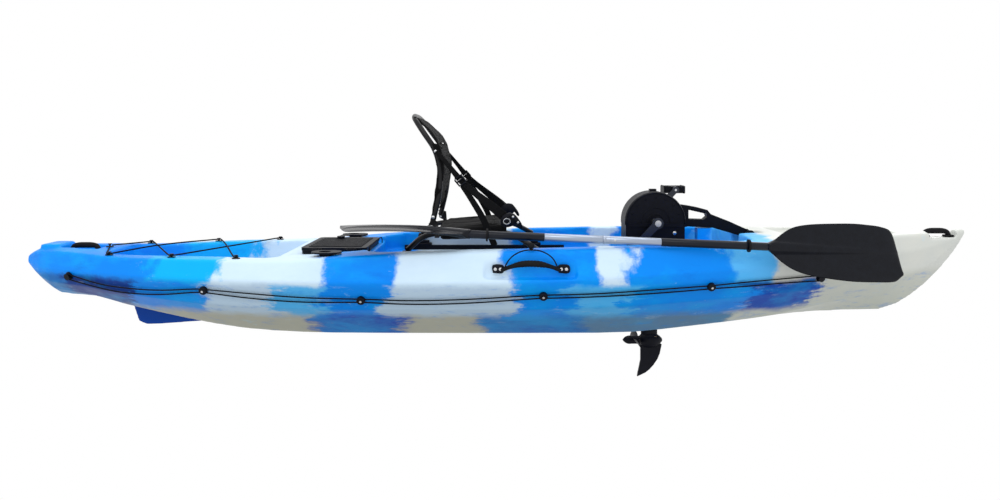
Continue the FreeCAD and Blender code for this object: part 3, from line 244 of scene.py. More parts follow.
def marbled_runs(n, place, runs, half_edge):
    """Runs of colour along the boat, each (X where it ends, colour), with mixed edges."""
    stops = [(0.0, runs[0][1])]
    for (end, colour), (_, following) in zip(runs, runs[1:]):
        middle = (end - HULL_REAR) / HULL_LENGTH
        stops.append((middle - half_edge, colour))
        stops.append((middle + half_edge, following))
    return n.ramp(place, stops, "EASE")


# The marbling along the boat, band by band: where each run of colour ends.
SHOULDER_RUNS = [(-1.40, AZURE), (-1.09, CYAN), (-0.70, PALE), (-0.34, AZURE), (0.05, PALE),
                 (0.39, AZURE), (0.49, PALE), (0.90, AZURE), (1.10, SKY), (2.0, SHELL)]
SIDE_RUNS = [(-1.80, STEEL), (-1.46, DEEP), (-1.15, AZURE), (-0.85, MILK), (-0.69, SKY),
             (-0.43, AZURE), (0.05, MILK), (0.27, AZURE), (0.52, SKY), (0.98, AZURE),
             (1.24, NAVY), (2.0, SHELL)]
BELLY_RUNS = [(-1.62, SMOKE), (-0.73, CREAM), (-0.37, NAVY), (-0.06, CREAM), (0.36, STEEL),
              (0.96, SMOKE), (2.0, SHELL)]


def hull_material():
    """Rotomoulded polyethylene: blown powder marbling in azure, deep blue and pale blue, with
    painted shade darkening the lower hull.
    """
    n = Nodes("hull_marbled")
    split = n.add("SeparateXYZ")
    n.wire(n.place, split.inputs["Vector"])
    along = n.math("DIVIDE", n.math("SUBTRACT", split.outputs["X"], HULL_REAR), HULL_LENGTH)
    broad = n.centred(n.noise(4.2, 3, 0.55), 0.085)
    fine = n.centred(n.noise(15, 8, 0.70), 0.032)
    place = n.math("ADD", along, n.math("ADD", broad, fine))
    slanted = n.noise(3.0, 8, 0.72, n.scaled((0.9, 1.2, 4.0), (0, math.radians(20), 0)))
    smear = n.centred(slanted, 0.120)
    low_place = n.math("ADD", along, n.math("ADD", smear, fine))
    shoulder = marbled_runs(n, place, SHOULDER_RUNS, 0.005)
    side = marbled_runs(n, low_place, SIDE_RUNS, 0.006)
    belly = marbled_runs(n, low_place, BELLY_RUNS, 0.010)
    waver = n.centred(n.noise(6, 6, 0.66), 0.060)
    height = n.math("ADD", split.outputs["Z"], waver)
    above_chine = n.mask(height, 0.228, 0.246)
    above_belly = n.mask(n.math("ADD", height, n.math("MULTIPLY", smear, 0.5)), 0.092, 0.128)
    colour = n.mix(above_chine, n.mix(above_belly, belly, side), shoulder)
    low_only = n.math("SUBTRACT", 1.0, above_chine)
    brushed = n.noise(8, 9, 0.80, n.scaled((0.8, 1.2, 3.6), (0, math.radians(-16), 0)))
    blue_wisps = n.mask(brushed, 0.54, 0.64)
    pale_wisps = n.ramp(brushed, [(0.33, (1, 1, 1)), (0.42, (0, 0, 0))])
    colour = n.mix(n.times(blue_wisps, low_only, 0.42), colour,
                   (0.0, 0.24, 0.82))
    colour = n.mix(n.times(pale_wisps, low_only, 0.34), colour,
                   MILK)
    tint = n.mask(n.noise(3.6, 5, 0.62, n.scaled((1.0, 1.4, 2.2), (0, 0.5, 0.3))), 0.46, 0.64)
    blue_part = n.math("SUBTRACT", 1.0, n.redness(colour))
    colour = n.mix(n.times(tint, blue_part, 0.45), colour,
                   (0.0, 0.46, 0.98))
    shade = n.mask(n.noise(5.4, 6, 0.70, n.scaled((0.8, 1.0, 2.0), (0, -0.6, 0))), 0.56, 0.70)
    colour = n.mix(n.times(shade, blue_part, 0.40), colour,
                   (0.0, 0.13, 0.70))
    veil = n.mask(n.noise(5.2, 7, 0.74, n.scaled((1.1, 1.0, 2.4), (0, 0.5, 0))), 0.63, 0.73)
    colour = n.mix(n.math("MULTIPLY", veil, 0.55), colour, (0.42, 0.74, 0.98))
    on_keel = n.math("LESS_THAN", n.math("ABSOLUTE", split.outputs["Y"]), 0.0185)
    skeg_end = n.math("LESS_THAN", n.math("ADD", split.outputs["X"], broad), -1.13)
    skeg_low = n.math("LESS_THAN", split.outputs["Z"], 0.10)
    skeg = n.times(on_keel, skeg_end, skeg_low)
    colour = n.mix(skeg, colour, (0.0, 0.060, 0.42))
    cloud = n.ramp(n.noise(4.4, 6, 0.7, n.scaled((1.0, 1.6, 2.0), (0, 0, 0.6))),
                   [(0.25, (0.88, 0.91, 0.95)), (0.75, (1.0, 1.0, 1.0))])
    colour = n.mix(1.0, colour, cloud, "MULTIPLY")
    # Painted shade: the colour is darkened by height, most low on the belly and less up to the
    # chine, for the shade on the underside.
    painted_belly_shade = n.ramp(split.outputs["Z"], [(0.09, (0.74, 0.76, 0.72)), (0.225, (0.84, 0.85, 0.82)),
                                            (0.26, (1.0, 1.0, 1.0))])
    colour = n.mix(1.0, colour, painted_belly_shade, "MULTIPLY")
    n.set("Base Color", colour)
    n.set("Roughness", n.spread(n.noise(26, 4), 0.30, 0.50))
    n.set("Specular IOR Level", 0.12)
    peel = n.math("ADD", n.noise(240, 2), n.math("MULTIPLY", n.noise(38, 3), 1.6))
    n.bump(peel, 0.16, 0.0006)
    return n.material


def moulded(name, colour, grain=850, rough=(0.36, 0.55), depth=0.16, shine=0.13):
    """Injection-moulded plastic with a fine spark-eroded grain and faint handling marks."""
    n = Nodes(name)
    bright = tuple(value * 1.9 + 0.001 for value in colour)
    scuffs = n.ramp(n.noise(34, 6, 0.7), [(0.35, colour), (0.78, bright)])
    n.set("Base Color", scuffs)
    n.set("Roughness", n.spread(n.noise(90, 4), *rough))
    n.set("Specular IOR Level", shine)
    height = n.math("ADD", n.cells(grain), n.math("MULTIPLY", n.noise(160, 3), 0.7))
    n.bump(height, depth, 0.0004)
    return n.material


def rubber(name):
    n = Nodes(name)
    n.set("Base Color", n.ramp(n.noise(70, 5), [(0.3, (0.002, 0.002, 0.003)),
                                               (0.8, (0.007, 0.007, 0.009))]))
    n.set("Roughness", n.spread(n.noise(120, 3), 0.50, 0.75))
    n.set("Specular IOR Level", 0.16)
    n.bump(n.noise(420, 4), 0.22, 0.0005)
    return n.material


def metal(name, colour, rough, streak=(4, 260, 260), depth=0.08):
    """Drawn or turned metal: fine streaks along X."""
    n = Nodes(name)
    lines = n.noise(9, 4, 0.6, n.scaled(streak))
    n.set("Metallic", 1.0)
    n.set("Base Color", n.ramp(lines, [(0.3, tuple(c * 0.82 for c in colour)), (0.7, colour)]))
    n.set("Roughness", n.spread(lines, *rough))
    n.bump(lines, depth, 0.0002)
    return n.material


def anodised(name):
    """Black anodised or powder-coated tube."""
    n = Nodes(name)
    n.set("Base Color", n.ramp(n.noise(46, 5), [(0.35, (0.002, 0.002, 0.003)),
                                               (0.8, (0.007, 0.007, 0.009))]))
    n.set("Specular IOR Level", 0.26)
    n.set("Roughness", n.spread(n.noise(150, 4), 0.24, 0.42))
    n.bump(n.noise(900, 2), 0.10, 0.0002)
    return n.material


def woven(name, dark, light, pitch, depth, sheen=0.03, rough=0.85, turn=(0, 0, 0)):
    """A plain weave: two crossed sets of threads, with uneven colour between them."""
    n = Nodes(name)
    place = n.scaled((1, 1, 1), turn)
    warp = n.math("MAXIMUM", n.wave(pitch, "X", place), n.wave(pitch, "Y", place))
    threads = n.math("MULTIPLY", warp, n.wave(pitch, "Z", place))
    shade = n.math("ADD", n.math("MULTIPLY", threads, 0.7),
                   n.math("MULTIPLY", n.noise(30, 5), 0.45))
    n.set("Base Color", n.ramp(shade, [(0.2, dark), (0.8, light)]))
    n.set("Roughness", rough)
    n.set("Specular IOR Level", 0.12)
    n.set("Sheen Weight", sheen)
    n.bump(n.math("ADD", threads, n.math("MULTIPLY", n.noise(600, 2), 0.3)), depth, 0.0008)
    return n.material


make_camera()
make_studio()
MATERIALS = {
    "hull_plastic": hull_material(),
    # The faint blue in these blacks' colours is painted reflection of the blue hull; the near-black
    # itself is the plastics' own colour.
    "black_plastic": moulded("black_moulded", (0.0015, 0.0020, 0.0050)),
    "black_rubber": rubber("soft_rubber"),
    "stainless": metal("stainless_bright", (0.66, 0.67, 0.69), (0.16, 0.32)),
    "tube_black": anodised("tube_anodised"),
    "paddle_alloy": metal("alloy_satin", (0.40, 0.46, 0.57), (0.28, 0.44), (3, 300, 300), 0.12),
    "paddle_grip": moulded("shaft_black", (0.0016, 0.0030, 0.0080), 1200, (0.24, 0.36), 0.08,
                           0.26),
    "blade_plastic": moulded("blade_black", (0.0022, 0.0030, 0.0060), 1400, (0.20, 0.30), 0.06,
                             0.20),
    "crank_alloy": metal("crank_satin", (0.055, 0.060, 0.075), (0.30, 0.46)),
    "seat_fabric": woven("seat_mesh", (0.0005, 0.0005, 0.0006), (0.0040, 0.0040, 0.0049), 260,
                         0.6),
    "webbing": woven("strap_webbing", (0.0010, 0.0010, 0.0013), (0.0070, 0.0070, 0.0085), 340,
                     0.7, 0.02, 0.8, (0, math.radians(45), 0)),
    "cord": woven("cord_braid", (0.0008, 0.0008, 0.0012), (0.0060, 0.0060, 0.0080), 620, 0.6,
                  0.02, 0.78, (math.radians(35), math.radians(45), 0)),
    "gear_bronze": metal("gear_cut_bronze", (0.62, 0.44, 0.21), (0.22, 0.40), (200, 200, 6)),
}
SLOT_OF = {part["node"]: part["material_slot"] for part in record["subparts"]}


# ---------------------------------------------------------------- mesh kit
def link(name, data):
    made = bpy.data.objects.new(name, data)
    bpy.context.scene.collection.objects.link(made)
    return made


def finished(piece, body, slot, nodes=(), smooth=True):
    """Give a piece its finish, its body and the CAD nodes that it stands for."""
    piece.data.materials.clear()
    piece.data.materials.append(MATERIALS[slot])
    if smooth and piece.type == "MESH":
        piece.data.polygons.foreach_set("use_smooth", [True] * len(piece.data.polygons))
    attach(piece, body)
    if nodes:
        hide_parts(*nodes)
    return piece


def settled(piece):
    """The piece with its modifiers made part of its mesh."""
    bpy.context.view_layer.update()
    graph = bpy.context.evaluated_depsgraph_get()
    mesh = bpy.data.meshes.new_from_object(piece.evaluated_get(graph))
    old = piece.data
    piece.modifiers.clear()
    piece.data = mesh
    bpy.data.meshes.remove(old)
    return piece


def softened(node, voxel, rounds, most_faces=None, factor=0.5):
    """A moulded version of a CAD node: the same shape with its edges rounded over."""
    piece = link(node + "_moulded", frame["nodes"][node].data.copy())
    remesh = piece.modifiers.new("remesh", "REMESH")
    remesh.mode = "VOXEL"
    remesh.voxel_size = voxel
    relax = piece.modifiers.new("relax", "SMOOTH")
    relax.factor = factor
    relax.iterations = rounds
    settled(piece)
    triangles = 2 * len(piece.data.polygons)
    if most_faces and triangles > most_faces:
        thin = piece.modifiers.new("thin", "DECIMATE")
        thin.ratio = most_faces / triangles
        settled(piece)
    return piece


FINISH_OF = {"crank_arms": "crank_alloy"}


def dress_node(node, bevel=0.0, finish=None):
    """Keep a CAD node as it is, with its real finish and, where it has one, a small edge."""
    piece = frame["nodes"][node]
    for place in piece.material_slots:
        place.link = "OBJECT"
        place.material = MATERIALS[finish or SLOT_OF[node]]
    if bevel:
        edge = piece.modifiers.new("edge", "BEVEL")
        edge.width = bevel
        edge.segments = 2
        edge.limit_method = "ANGLE"
        edge.angle_limit = math.radians(35)
        edge.use_clamp_overlap = True


def grid_mesh(name, rows, closed=False, caps=False):
    """A mesh through rows of points; each row may close on itself."""
    count = len(rows[0])
    points = [point for row in rows for point in row]
    faces = []
    steps = count if closed else count - 1
    for row in range(len(rows) - 1):
        for step in range(steps):
            after = (step + 1) % count
            faces.append((row * count + step, row * count + after,
                          (row + 1) * count + after, (row + 1) * count + step))
    if caps:
        faces.append(tuple(range(count))[::-1])
        faces.append(tuple(range((len(rows) - 1) * count, len(rows) * count)))
    mesh = bpy.data.meshes.new(name)
    mesh.from_pydata([tuple(point) for point in points], [], faces)
    mesh.validate()
    outward = bmesh.new()
    outward.from_mesh(mesh)
    bmesh.ops.recalc_face_normals(outward, faces=outward.faces)
    outward.to_mesh(mesh)
    outward.free()
    return link(name, mesh)


def even(points, count):
    """The same open line through evenly spaced points, rounded between its corners."""
    points = [Vector(point) for point in points]
    ends = [2 * points[0] - points[1]] + points + [2 * points[-1] - points[-2]]
    fine = []
    for a, b, c, d in zip(ends, ends[1:], ends[2:], ends[3:]):
        for part in range(12):
            t = part / 12
            fine.append(0.5 * (2 * b + (c - a) * t + (2 * a - 5 * b + 4 * c - d) * t * t
                               + (3 * b - a - 3 * c + d) * t ** 3))
    fine.append(points[-1])
    lengths = [0.0]
    for before, after in zip(fine, fine[1:]):
        lengths.append(lengths[-1] + (after - before).length)
    result, place = [], 0
    for number in range(count):
        target = lengths[-1] * number / (count - 1)
        while place < len(fine) - 2 and lengths[place + 1] < target:
            place += 1
        span = lengths[place + 1] - lengths[place] or 1
        result.append(fine[place].lerp(fine[place + 1], (target - lengths[place]) / span))
    return result


def round_cord(name, route, radius):
    """A smooth round cord whose control points are the route's own."""
    curve = bpy.data.curves.new(name, "CURVE")
    curve.dimensions = "3D"
    curve.bevel_depth = radius
    curve.bevel_resolution = 4
    curve.resolution_u = 10
    curve.use_fill_caps = True
    line = curve.splines.new("NURBS")
    line.points.add(len(route) - 1)
    for point, place in zip(line.points, route):
        point.co = (*place, 1)
    line.order_u = 3
    line.use_endpoint_u = True
    return link(name, curve)


def turned_piece(name, profile, centre, axis, sides=40):
    """A body of revolution: profile is (distance along the axis, radius) pairs."""
    turn = Vector((0, 0, 1)).rotation_difference(Vector(axis)).to_matrix()
    rows = []
    for along, radius in profile:
        rows.append([turn @ Vector((radius * math.cos(2 * math.pi * step / sides),
                                    radius * math.sin(2 * math.pi * step / sides), along))
                     + Vector(centre) for step in range(sides)])
    return grid_mesh(name, rows, closed=True, caps=True)


def joined(name, pieces):
    """Several meshes as one piece."""
    whole = bmesh.new()
    for piece in pieces:
        whole.from_mesh(piece.data)
        bpy.data.objects.remove(piece)
    mesh = bpy.data.meshes.new(name)
    whole.to_mesh(mesh)
    whole.free()
    return link(name, mesh)


def rectangle(x, half_length, low, high):
    """The corners of an upright or flat rectangle, centred at x."""
    return [(x - half_length, low), (x + half_length, low), (x + half_length, high),
            (x - half_length, high)]


def laid_flat(pad, y, z):
    """A slab turned to lie level at (y, z), with its thickness upward."""
    flip = Matrix.Scale(-1, 4, (0, 1, 0))
    pad.data.transform(Matrix.Translation((0, y, z))
                       @ Matrix.Rotation(math.radians(-90), 4, "X") @ flip)
    return pad


def in_mm(points):
    return [tuple(value / 1000 for value in point) for point in points]


# ---------------------------------------------------------------- soft pieces
CLOTH_FRAMES = 20


def stuffed(piece, voxel, cap, pressure=4.0, floor=None):
    """Swell a closed shape as a sewn, filled cover: cloth under pressure, with its travel
    capped. Below floor it only rests, so it stays flat there."""
    remesh = piece.modifiers.new("remesh", "REMESH")
    remesh.mode = "VOXEL"
    remesh.voxel_size = voxel * 1
    settled(piece)
    before = [vertex.co.copy() for vertex in piece.data.vertices]
    cloth = piece.modifiers.new("cloth", "CLOTH")
    cloth.settings.use_pressure = True
    cloth.settings.uniform_pressure_force = pressure
    cloth.settings.effector_weights.gravity = 0
    cloth.settings.quality = 4
    cloth.settings.mass = 0.25
    cloth.collision_settings.use_collision = False
    cloth.point_cache.frame_start = 1
    cloth.point_cache.frame_end = CLOTH_FRAMES
    scene = bpy.context.scene
    for number in range(1, CLOTH_FRAMES + 1):
        scene.frame_set(number)
    settled(piece)
    scene.frame_set(1)
    for vertex, start in zip(piece.data.vertices, before):
        travel = vertex.co - start
        if travel.length > cap:
            vertex.co = start + travel * (cap / travel.length)
        if floor is not None and vertex.co.z < floor:
            vertex.co.z = floor
    soften = piece.modifiers.new("soften", "SUBSURF")
    soften.levels = soften.render_levels = 1
    settled(piece)
    return piece


def sewn(piece, depth_at):
    """Press seams and channels into a cover: depth_at gives how deep each point lies."""
    piece.data.update()
    moves = [vertex.normal * -depth_at(vertex.co) for vertex in piece.data.vertices]
    for vertex, move in zip(piece.data.vertices, moves):
        vertex.co += move
    piece.data.update()


def groove(distance, width, depth):
    return depth * math.exp(-(distance / width) ** 2)


def creased(place, size, depth):
    """Soft wrinkles of cloth pulled over foam."""
    return depth * noise.noise(Vector(place) * size)


PAD_HALF, PAD_REAR, PAD_FRONT = 0.206, -0.262, 0.028
PAD_TOP = [(-0.262, 0.4390), (-0.150, 0.4410), (-0.105, 0.4455), (-0.050, 0.4545),
           (0.010, 0.4585), (0.030, 0.4560)]


def pad_top(x):
    """The height of the pan's top, which rises towards the knees."""
    x = min(max(x, PAD_TOP[0][0]), PAD_TOP[-1][0])
    for (x0, z0), (x1, z1) in zip(PAD_TOP, PAD_TOP[1:]):
        if x <= x1:
            return z0 + (z1 - z0) * (x - x0) / (x1 - x0)


def make_seat_pad():
    """The seat pan: a crowned foam pad in a sewn cover, flat where it lies on the frame."""
    rows = []
    inset, low, high = 0.004, 0.4200, 0.4400
    for level, shrink in ((low, 0.006), (low + 0.008, 0.0), (high - 0.010, 0.0), (high, 0.010)):
        row = []
        for step in range(80):
            angle = 2 * math.pi * step / 80
            c, q = math.cos(angle), math.sin(angle)
            reach = 1 / (abs(c) ** 7 + abs(q) ** 7) ** (1 / 7)
            half_x = (PAD_FRONT - PAD_REAR) / 2 - inset - shrink
            half_y = PAD_HALF - inset - shrink
            row.append(((PAD_FRONT + PAD_REAR) / 2 + half_x * reach * c, half_y * reach * q,
                        level))
        rows.append(row)
    pad = stuffed(grid_mesh("seat_pad_cover", rows, True, True), 0.0055, 0.010, 4.0, 0.4186)
    highest = max(vertex.co.z for vertex in pad.data.vertices)
    for vertex in pad.data.vertices:
        lift = (pad_top(vertex.co.x) - low) / (highest - low)
        if vertex.co.z > low:
            vertex.co.z = low + (vertex.co.z - low) * lift
    crown = 0.0040

    def shape(place):
        across_share = min(1, abs(place.y) / PAD_HALF)
        on_top = max(0, min(1, (place.z - pad_top(place.x) + 0.008) / 0.006))
        channels = sum(groove(place.y - line, 0.0045, 0.0045) for line in (-0.125, 0, 0.125))
        panel = groove(place.x - (PAD_FRONT - 0.052), 0.0045, 0.004)
        folds = 0.0014 + creased((place.x * 1.0, place.y * 0.8, place.z * 2.2), 34, 0.0022)
        hollow = crown * (1 - across_share ** 2)
        return on_top * (channels + panel + hollow) + folds

    sewn(pad, shape)
    finished(pad, "seat", "seat_fabric", ["seat_pad"])
    tree = BVHTree.FromObject(pad, bpy.context.evaluated_depsgraph_get())
    for name, drop in (("upper", 0.0065), ("lower", None)):
        route = []
        for step in range(49):
            angle = 2 * math.pi * step / 48
            c, q = math.cos(angle), math.sin(angle)
            far = 1 / (abs(c) ** 8 + abs(q) ** 8) ** (1 / 8)
            x = (PAD_FRONT + PAD_REAR) / 2 + 0.143 * far * c
            level = 0.4225 if drop is None else pad_top(x) - drop
            guess = Vector((x, 0.204 * far * q, level))
            route.append(tree.find_nearest(guess)[0])
        piping = round_cord(f"seat_pad_piping_{name}", route, 0.0020)
        finished(piping, "seat", "webbing", smooth=False)


BACK_FRONT = [(-0.267, 0.474), (-0.250, 0.520), (-0.228, 0.590), (-0.2165, 0.650),
              (-0.2175, 0.700), (-0.229, 0.748), (-0.238, 0.772)]
BACK_REAR = [(-0.279, 0.462), (-0.267, 0.520), (-0.256, 0.590), (-0.250, 0.650),
             (-0.255, 0.700), (-0.266, 0.748), (-0.274, 0.776)]
HEAD_FRONT = [(-0.233, 0.752), (-0.248, 0.790), (-0.271, 0.822), (-0.300, 0.850),
              (-0.326, 0.873), (-0.346, 0.884)]
HEAD_REAR = [(-0.247, 0.764), (-0.265, 0.800), (-0.288, 0.828), (-0.313, 0.848),
             (-0.334, 0.864), (-0.352, 0.873)]


def back_cover(name, front, rear, half_at, thin, steps=26):
    """A cover stretched across the back's frame: thick wings that wrap the tubes, with a
    thinner hammock between them."""
    front = even([(x, 0, z) for x, z in front], steps)
    rear = even([(x, 0, z) for x, z in rear], steps)
    across_steps = 44
    rows = []
    for number in range(steps):
        row = []
        f, r = front[number], rear[number]
        half = half_at((f.z + r.z) / 2)
        for side in range(across_steps + 1):
            share = -1 + 2 * side / across_steps
            deep = thin * (1 - share ** 6) * (0.55 + 0.45 * math.cos(share * math.pi / 2))
            row.append(f + Vector((-deep * 0.55, share * half, 0)))
        for side in range(across_steps + 1):
            share = 1 - 2 * side / across_steps
            deep = thin * (1 - share ** 6)
            row.append(r + Vector((deep * 0.45, share * half, 0)))
        rows.append(row)
    return grid_mesh(name, rows, closed=True, caps=True)


def back_half(z):
    return 0.2365 if z < 0.74 else 0.2365 - (z - 0.74) * 0.09


def head_half(z):
    table = [(0.755, 0.236), (0.80, 0.228), (0.83, 0.212), (0.85, 0.198), (0.875, 0.176)]
    for (low, wide), (high, narrow) in zip(table, table[1:]):
        if z < high:
            return wide + (narrow - wide) * max(0, (z - low) / (high - low))
    return table[-1][1]


def make_backrest():
    cover = stuffed(back_cover("backrest_cover", BACK_FRONT, BACK_REAR, back_half, 0.012),
                    0.0055, 0.003, 4.0)

    def shape(place):
        wings = groove(abs(place.y) - 0.196, 0.0042, 0.0040)
        channels = sum(groove(place.z - level, 0.0045, 0.0038) for level in (0.555, 0.64, 0.715))
        inside = 1 if abs(place.y) < 0.196 else 0
        folds = 0.0020 + creased((place.x * 0.7, place.y * 0.5, place.z), 30, 0.0026)
        return wings + inside * channels + folds

    sewn(cover, shape)
    finished(cover, "backrest", "seat_fabric", ["backrest_pad"])
    head = stuffed(back_cover("headrest_cover", HEAD_FRONT, HEAD_REAR, head_half, 0.006, 20),
                   0.0055, 0.002, 4.0)

    def head_shape(place):
        return (groove(abs(place.y) - 0.150, 0.004, 0.0035)
                + creased((place.x, place.y * 0.6, place.z), 36, 0.0026) + 0.0006)

    sewn(head, head_shape)
    finished(head, "backrest", "seat_fabric", ["headrest"])
    studs = []
    for side in (PORT, STARBOARD):
        for x, z in ((-0.252, 0.741), (-0.262, 0.480)):
            studs.append(turned_piece("stud", [(0, 0.0065), (0.0015, 0.0065), (0.003, 0.005),
                                               (0.0036, 0.002)],
                                      (x, side * 0.2395, z), (0, side, 0), 20))
    finished(joined("backrest_studs", studs), "backrest", "stainless")


# ---------------------------------------------------------------- straps
def webbing(name, route, side, thickness=0.0018, twist=0.004):
    """A flat strap whose broad side faces abeam. route is (x, z, width) down its middle."""
    middle = even([(x, side * 0.2535, z) for x, z, _ in route], 40)
    widths = even([(number, width, 0) for number, (_, _, width) in enumerate(route)], 40)
    rows = []
    for number, place in enumerate(middle):
        before, after = middle[max(0, number - 1)], middle[min(39, number + 1)]
        along = (after - before).normalized()
        broad = Vector((0, 1, 0)).cross(along).normalized()
        lean = twist * math.sin(number / 39 * math.pi)
        half = widths[number].y / 2
        out = Vector((0, side, 0))
        row = []
        for reach, level in ((-1, -0.5), (-0.82, -0.72), (0, -0.5), (0.82, -0.72), (1, -0.5),
                             (1, 0.5), (0.82, 0.72), (0, 0.5), (-0.82, 0.72), (-1, 0.5)):
            row.append(place + broad * reach * half
                       + out * (level * thickness + lean * reach + 0.003 * math.sin(
                           number / 39 * math.pi)))
        rows.append(row)
    return grid_mesh(name, rows, closed=True, caps=True)


UPPER_WEB = [(-0.249, 0.742, 0.016), (-0.222, 0.712, 0.017), (-0.192, 0.676, 0.018),
             (-0.172, 0.651, 0.021), (-0.156, 0.631, 0.025)]
SIDE_WEB = [(-0.156, 0.629, 0.024), (-0.100, 0.581, 0.025), (-0.040, 0.533, 0.030),
            (0.010, 0.492, 0.036), (0.030, 0.474, 0.038)]
DOWN_WEB = [(-0.146, 0.606, 0.020), (-0.110, 0.553, 0.023), (-0.066, 0.480, 0.025),
            (-0.040, 0.420, 0.025), (-0.018, 0.370, 0.025)]


def rounded_bar(name, start, end, radius, side_offset):
    """A short round bar with domed ends."""
    start, end = Vector(start), Vector(end)
    length = (end - start).length
    profile = [(0, radius * 0.3), (radius * 0.3, radius * 0.8), (radius, radius),
               (length - radius, radius), (length - radius * 0.3, radius * 0.8),
               (length, radius * 0.3)]
    return turned_piece(name, profile, start + side_offset, (end - start).normalized(), 16)


def follow_fold(piece, slot, node):
    """Give a strap piece its finish, hide the CAD node it stands for and bake its place into its
    mesh.
    """
    piece.data.materials.append(MATERIALS[slot])
    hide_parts(node)
    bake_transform(piece)


def make_straps():
    for name, side in (("port", PORT), ("starboard", STARBOARD)):
        straps = [webbing("upper", UPPER_WEB, side), webbing("side", SIDE_WEB, side),
                  webbing("down", DOWN_WEB, side, twist=0.002)]
        whole = joined(f"recline_strap_{name}", straps)
        whole.data.polygons.foreach_set("use_smooth", [True] * len(whole.data.polygons))
        follow_fold(whole, "webbing", "recline_straps")
        out = Vector((0, side * 0.2575, 0))
        bars = [rounded_bar("bar", (a, 0, b), (c, 0, d), 0.0032, out)
                for a, b, c, d in ((-0.176, 0.630, -0.154, 0.648), (-0.166, 0.618, -0.144, 0.636),
                                   (-0.154, 0.604, -0.132, 0.622), (-0.176, 0.628, -0.154, 0.602),
                                   (-0.154, 0.650, -0.131, 0.624))]
        buckle = joined(f"strap_buckle_{name}", bars)
        follow_fold(buckle, "black_plastic", "strap_buckles")
        make_cam(name, side)


CAM_OUTLINE = [(0.006, 0.452), (0.030, 0.442), (0.060, 0.452), (0.074, 0.468), (0.066, 0.488),
               (0.044, 0.498), (0.020, 0.492), (0.006, 0.474)]


def slab(name, outline, near, far):
    """A plate with rounded corners and eased edges, across the boat from near to far."""
    loop = [Vector((x, 0, z)) for x, z in outline]
    loop = even(loop + [loop[0]], 56)[:-1]
    middle = sum(loop, Vector()) / len(loop)
    rows = []
    ease = min(0.002, abs(far - near) / 3)
    sign = 1 if far > near else -1
    for depth, pull in ((near, ease), (near + sign * ease, 0), (far - sign * ease, 0),
                        (far, ease)):
        rows.append([point + (middle - point).normalized() * pull + Vector((0, depth, 0))
                     for point in loop])
    return grid_mesh(name, rows, closed=True, caps=True)


def make_cam(name, side):
    """The cam buckle on the seat's front bar, with its ring and rivets."""
    body = slab("cam", CAM_OUTLINE, side * 0.243, side * 0.2625)
    lever = slab("lever", [(0.036, 0.486), (0.056, 0.496), (0.080, 0.470), (0.092, 0.446),
                           (0.084, 0.440), (0.066, 0.462)], side * 0.249, side * 0.2655)
    finished(joined(f"strap_cam_{name}", [body, lever]), "seat", "black_plastic")
    rings = []
    for x, z, radius in ((0.030, 0.466, 0.0135),):
        loop = [Vector((x + radius * math.cos(a), side * 0.2645, z + radius * 0.8 * math.sin(a)))
                for a in [2 * math.pi * step / 24 for step in range(25)]]
        rings.append(tube_mesh("ring", loop, 0.0016))
    for x, z in ((0.054, 0.484), (0.074, 0.462)):
        rings.append(turned_piece("rivet", [(0, 0.0048), (0.002, 0.0048), (0.0032, 0.003)],
                                  (x, side * 0.2655, z), (0, side, 0), 20))
    finished(joined(f"strap_cam_rings_{name}", rings), "seat", "stainless")


def tube_mesh(name, line, radius, sides=12, radii=None):
    """A round tube along a line of points."""
    rows = []
    across = None
    for number, place in enumerate(line):
        before, after = line[max(0, number - 1)], line[min(len(line) - 1, number + 1)]
        along = (Vector(after) - Vector(before)).normalized()
        if across is None:
            across = along.orthogonal().normalized()
        across = (across - along * across.dot(along)).normalized()
        third = along.cross(across)
        r = radii[number] if radii else radius
        rows.append([Vector(place) + across * r * math.cos(2 * math.pi * s / sides)
                     + third * r * math.sin(2 * math.pi * s / sides) for s in range(sides)])
    return grid_mesh(name, rows, closed=True, caps=True)


# ---------------------------------------------------------------- cords
BUNGEE_LONG = in_mm([(-1656, 9, 338), (-1618, 96, 334), (-1581, 190, 330), (-1570, 200, 330),
                     (-1560, 191, 330), (-1300, -259, 332), (-1290, -268, 332),
                     (-1280, -259, 332), (-1030, 307, 333), (-1020, 316, 333),
                     (-1011, 306, 333)])
BUNGEE_CROSS = in_mm([(-1011, -306, 333), (-1020, -316, 333), (-1030, -307, 333),
                      (-1166, 0, 343), (-1280, 259, 332), (-1290, 268, 332), (-1300, 259, 332),
                      (-1450, 0, 342), (-1560, -191, 330), (-1570, -200, 330),
                      (-1581, -190, 330), (-1618, -96, 334), (-1656, -9, 338)])
HATCH_BAND = in_mm([(-527, -176, 327), (-526, -172, 344), (-527, -150, 356),
                    (-526, -80, 356.5), (-527, 0, 357), (-526, 80, 356.5), (-527, 150, 356),
                    (-526, 172, 344), (-527, 176, 327)])
PARK_LOOP = in_mm([(20, -437, 312), (30, -441, 335), (52, -438, 358), (86, -432, 374),
                   (120, -428, 377), (154, -432, 374), (188, -438, 358), (208, -441, 335),
                   (216, -437, 312)])
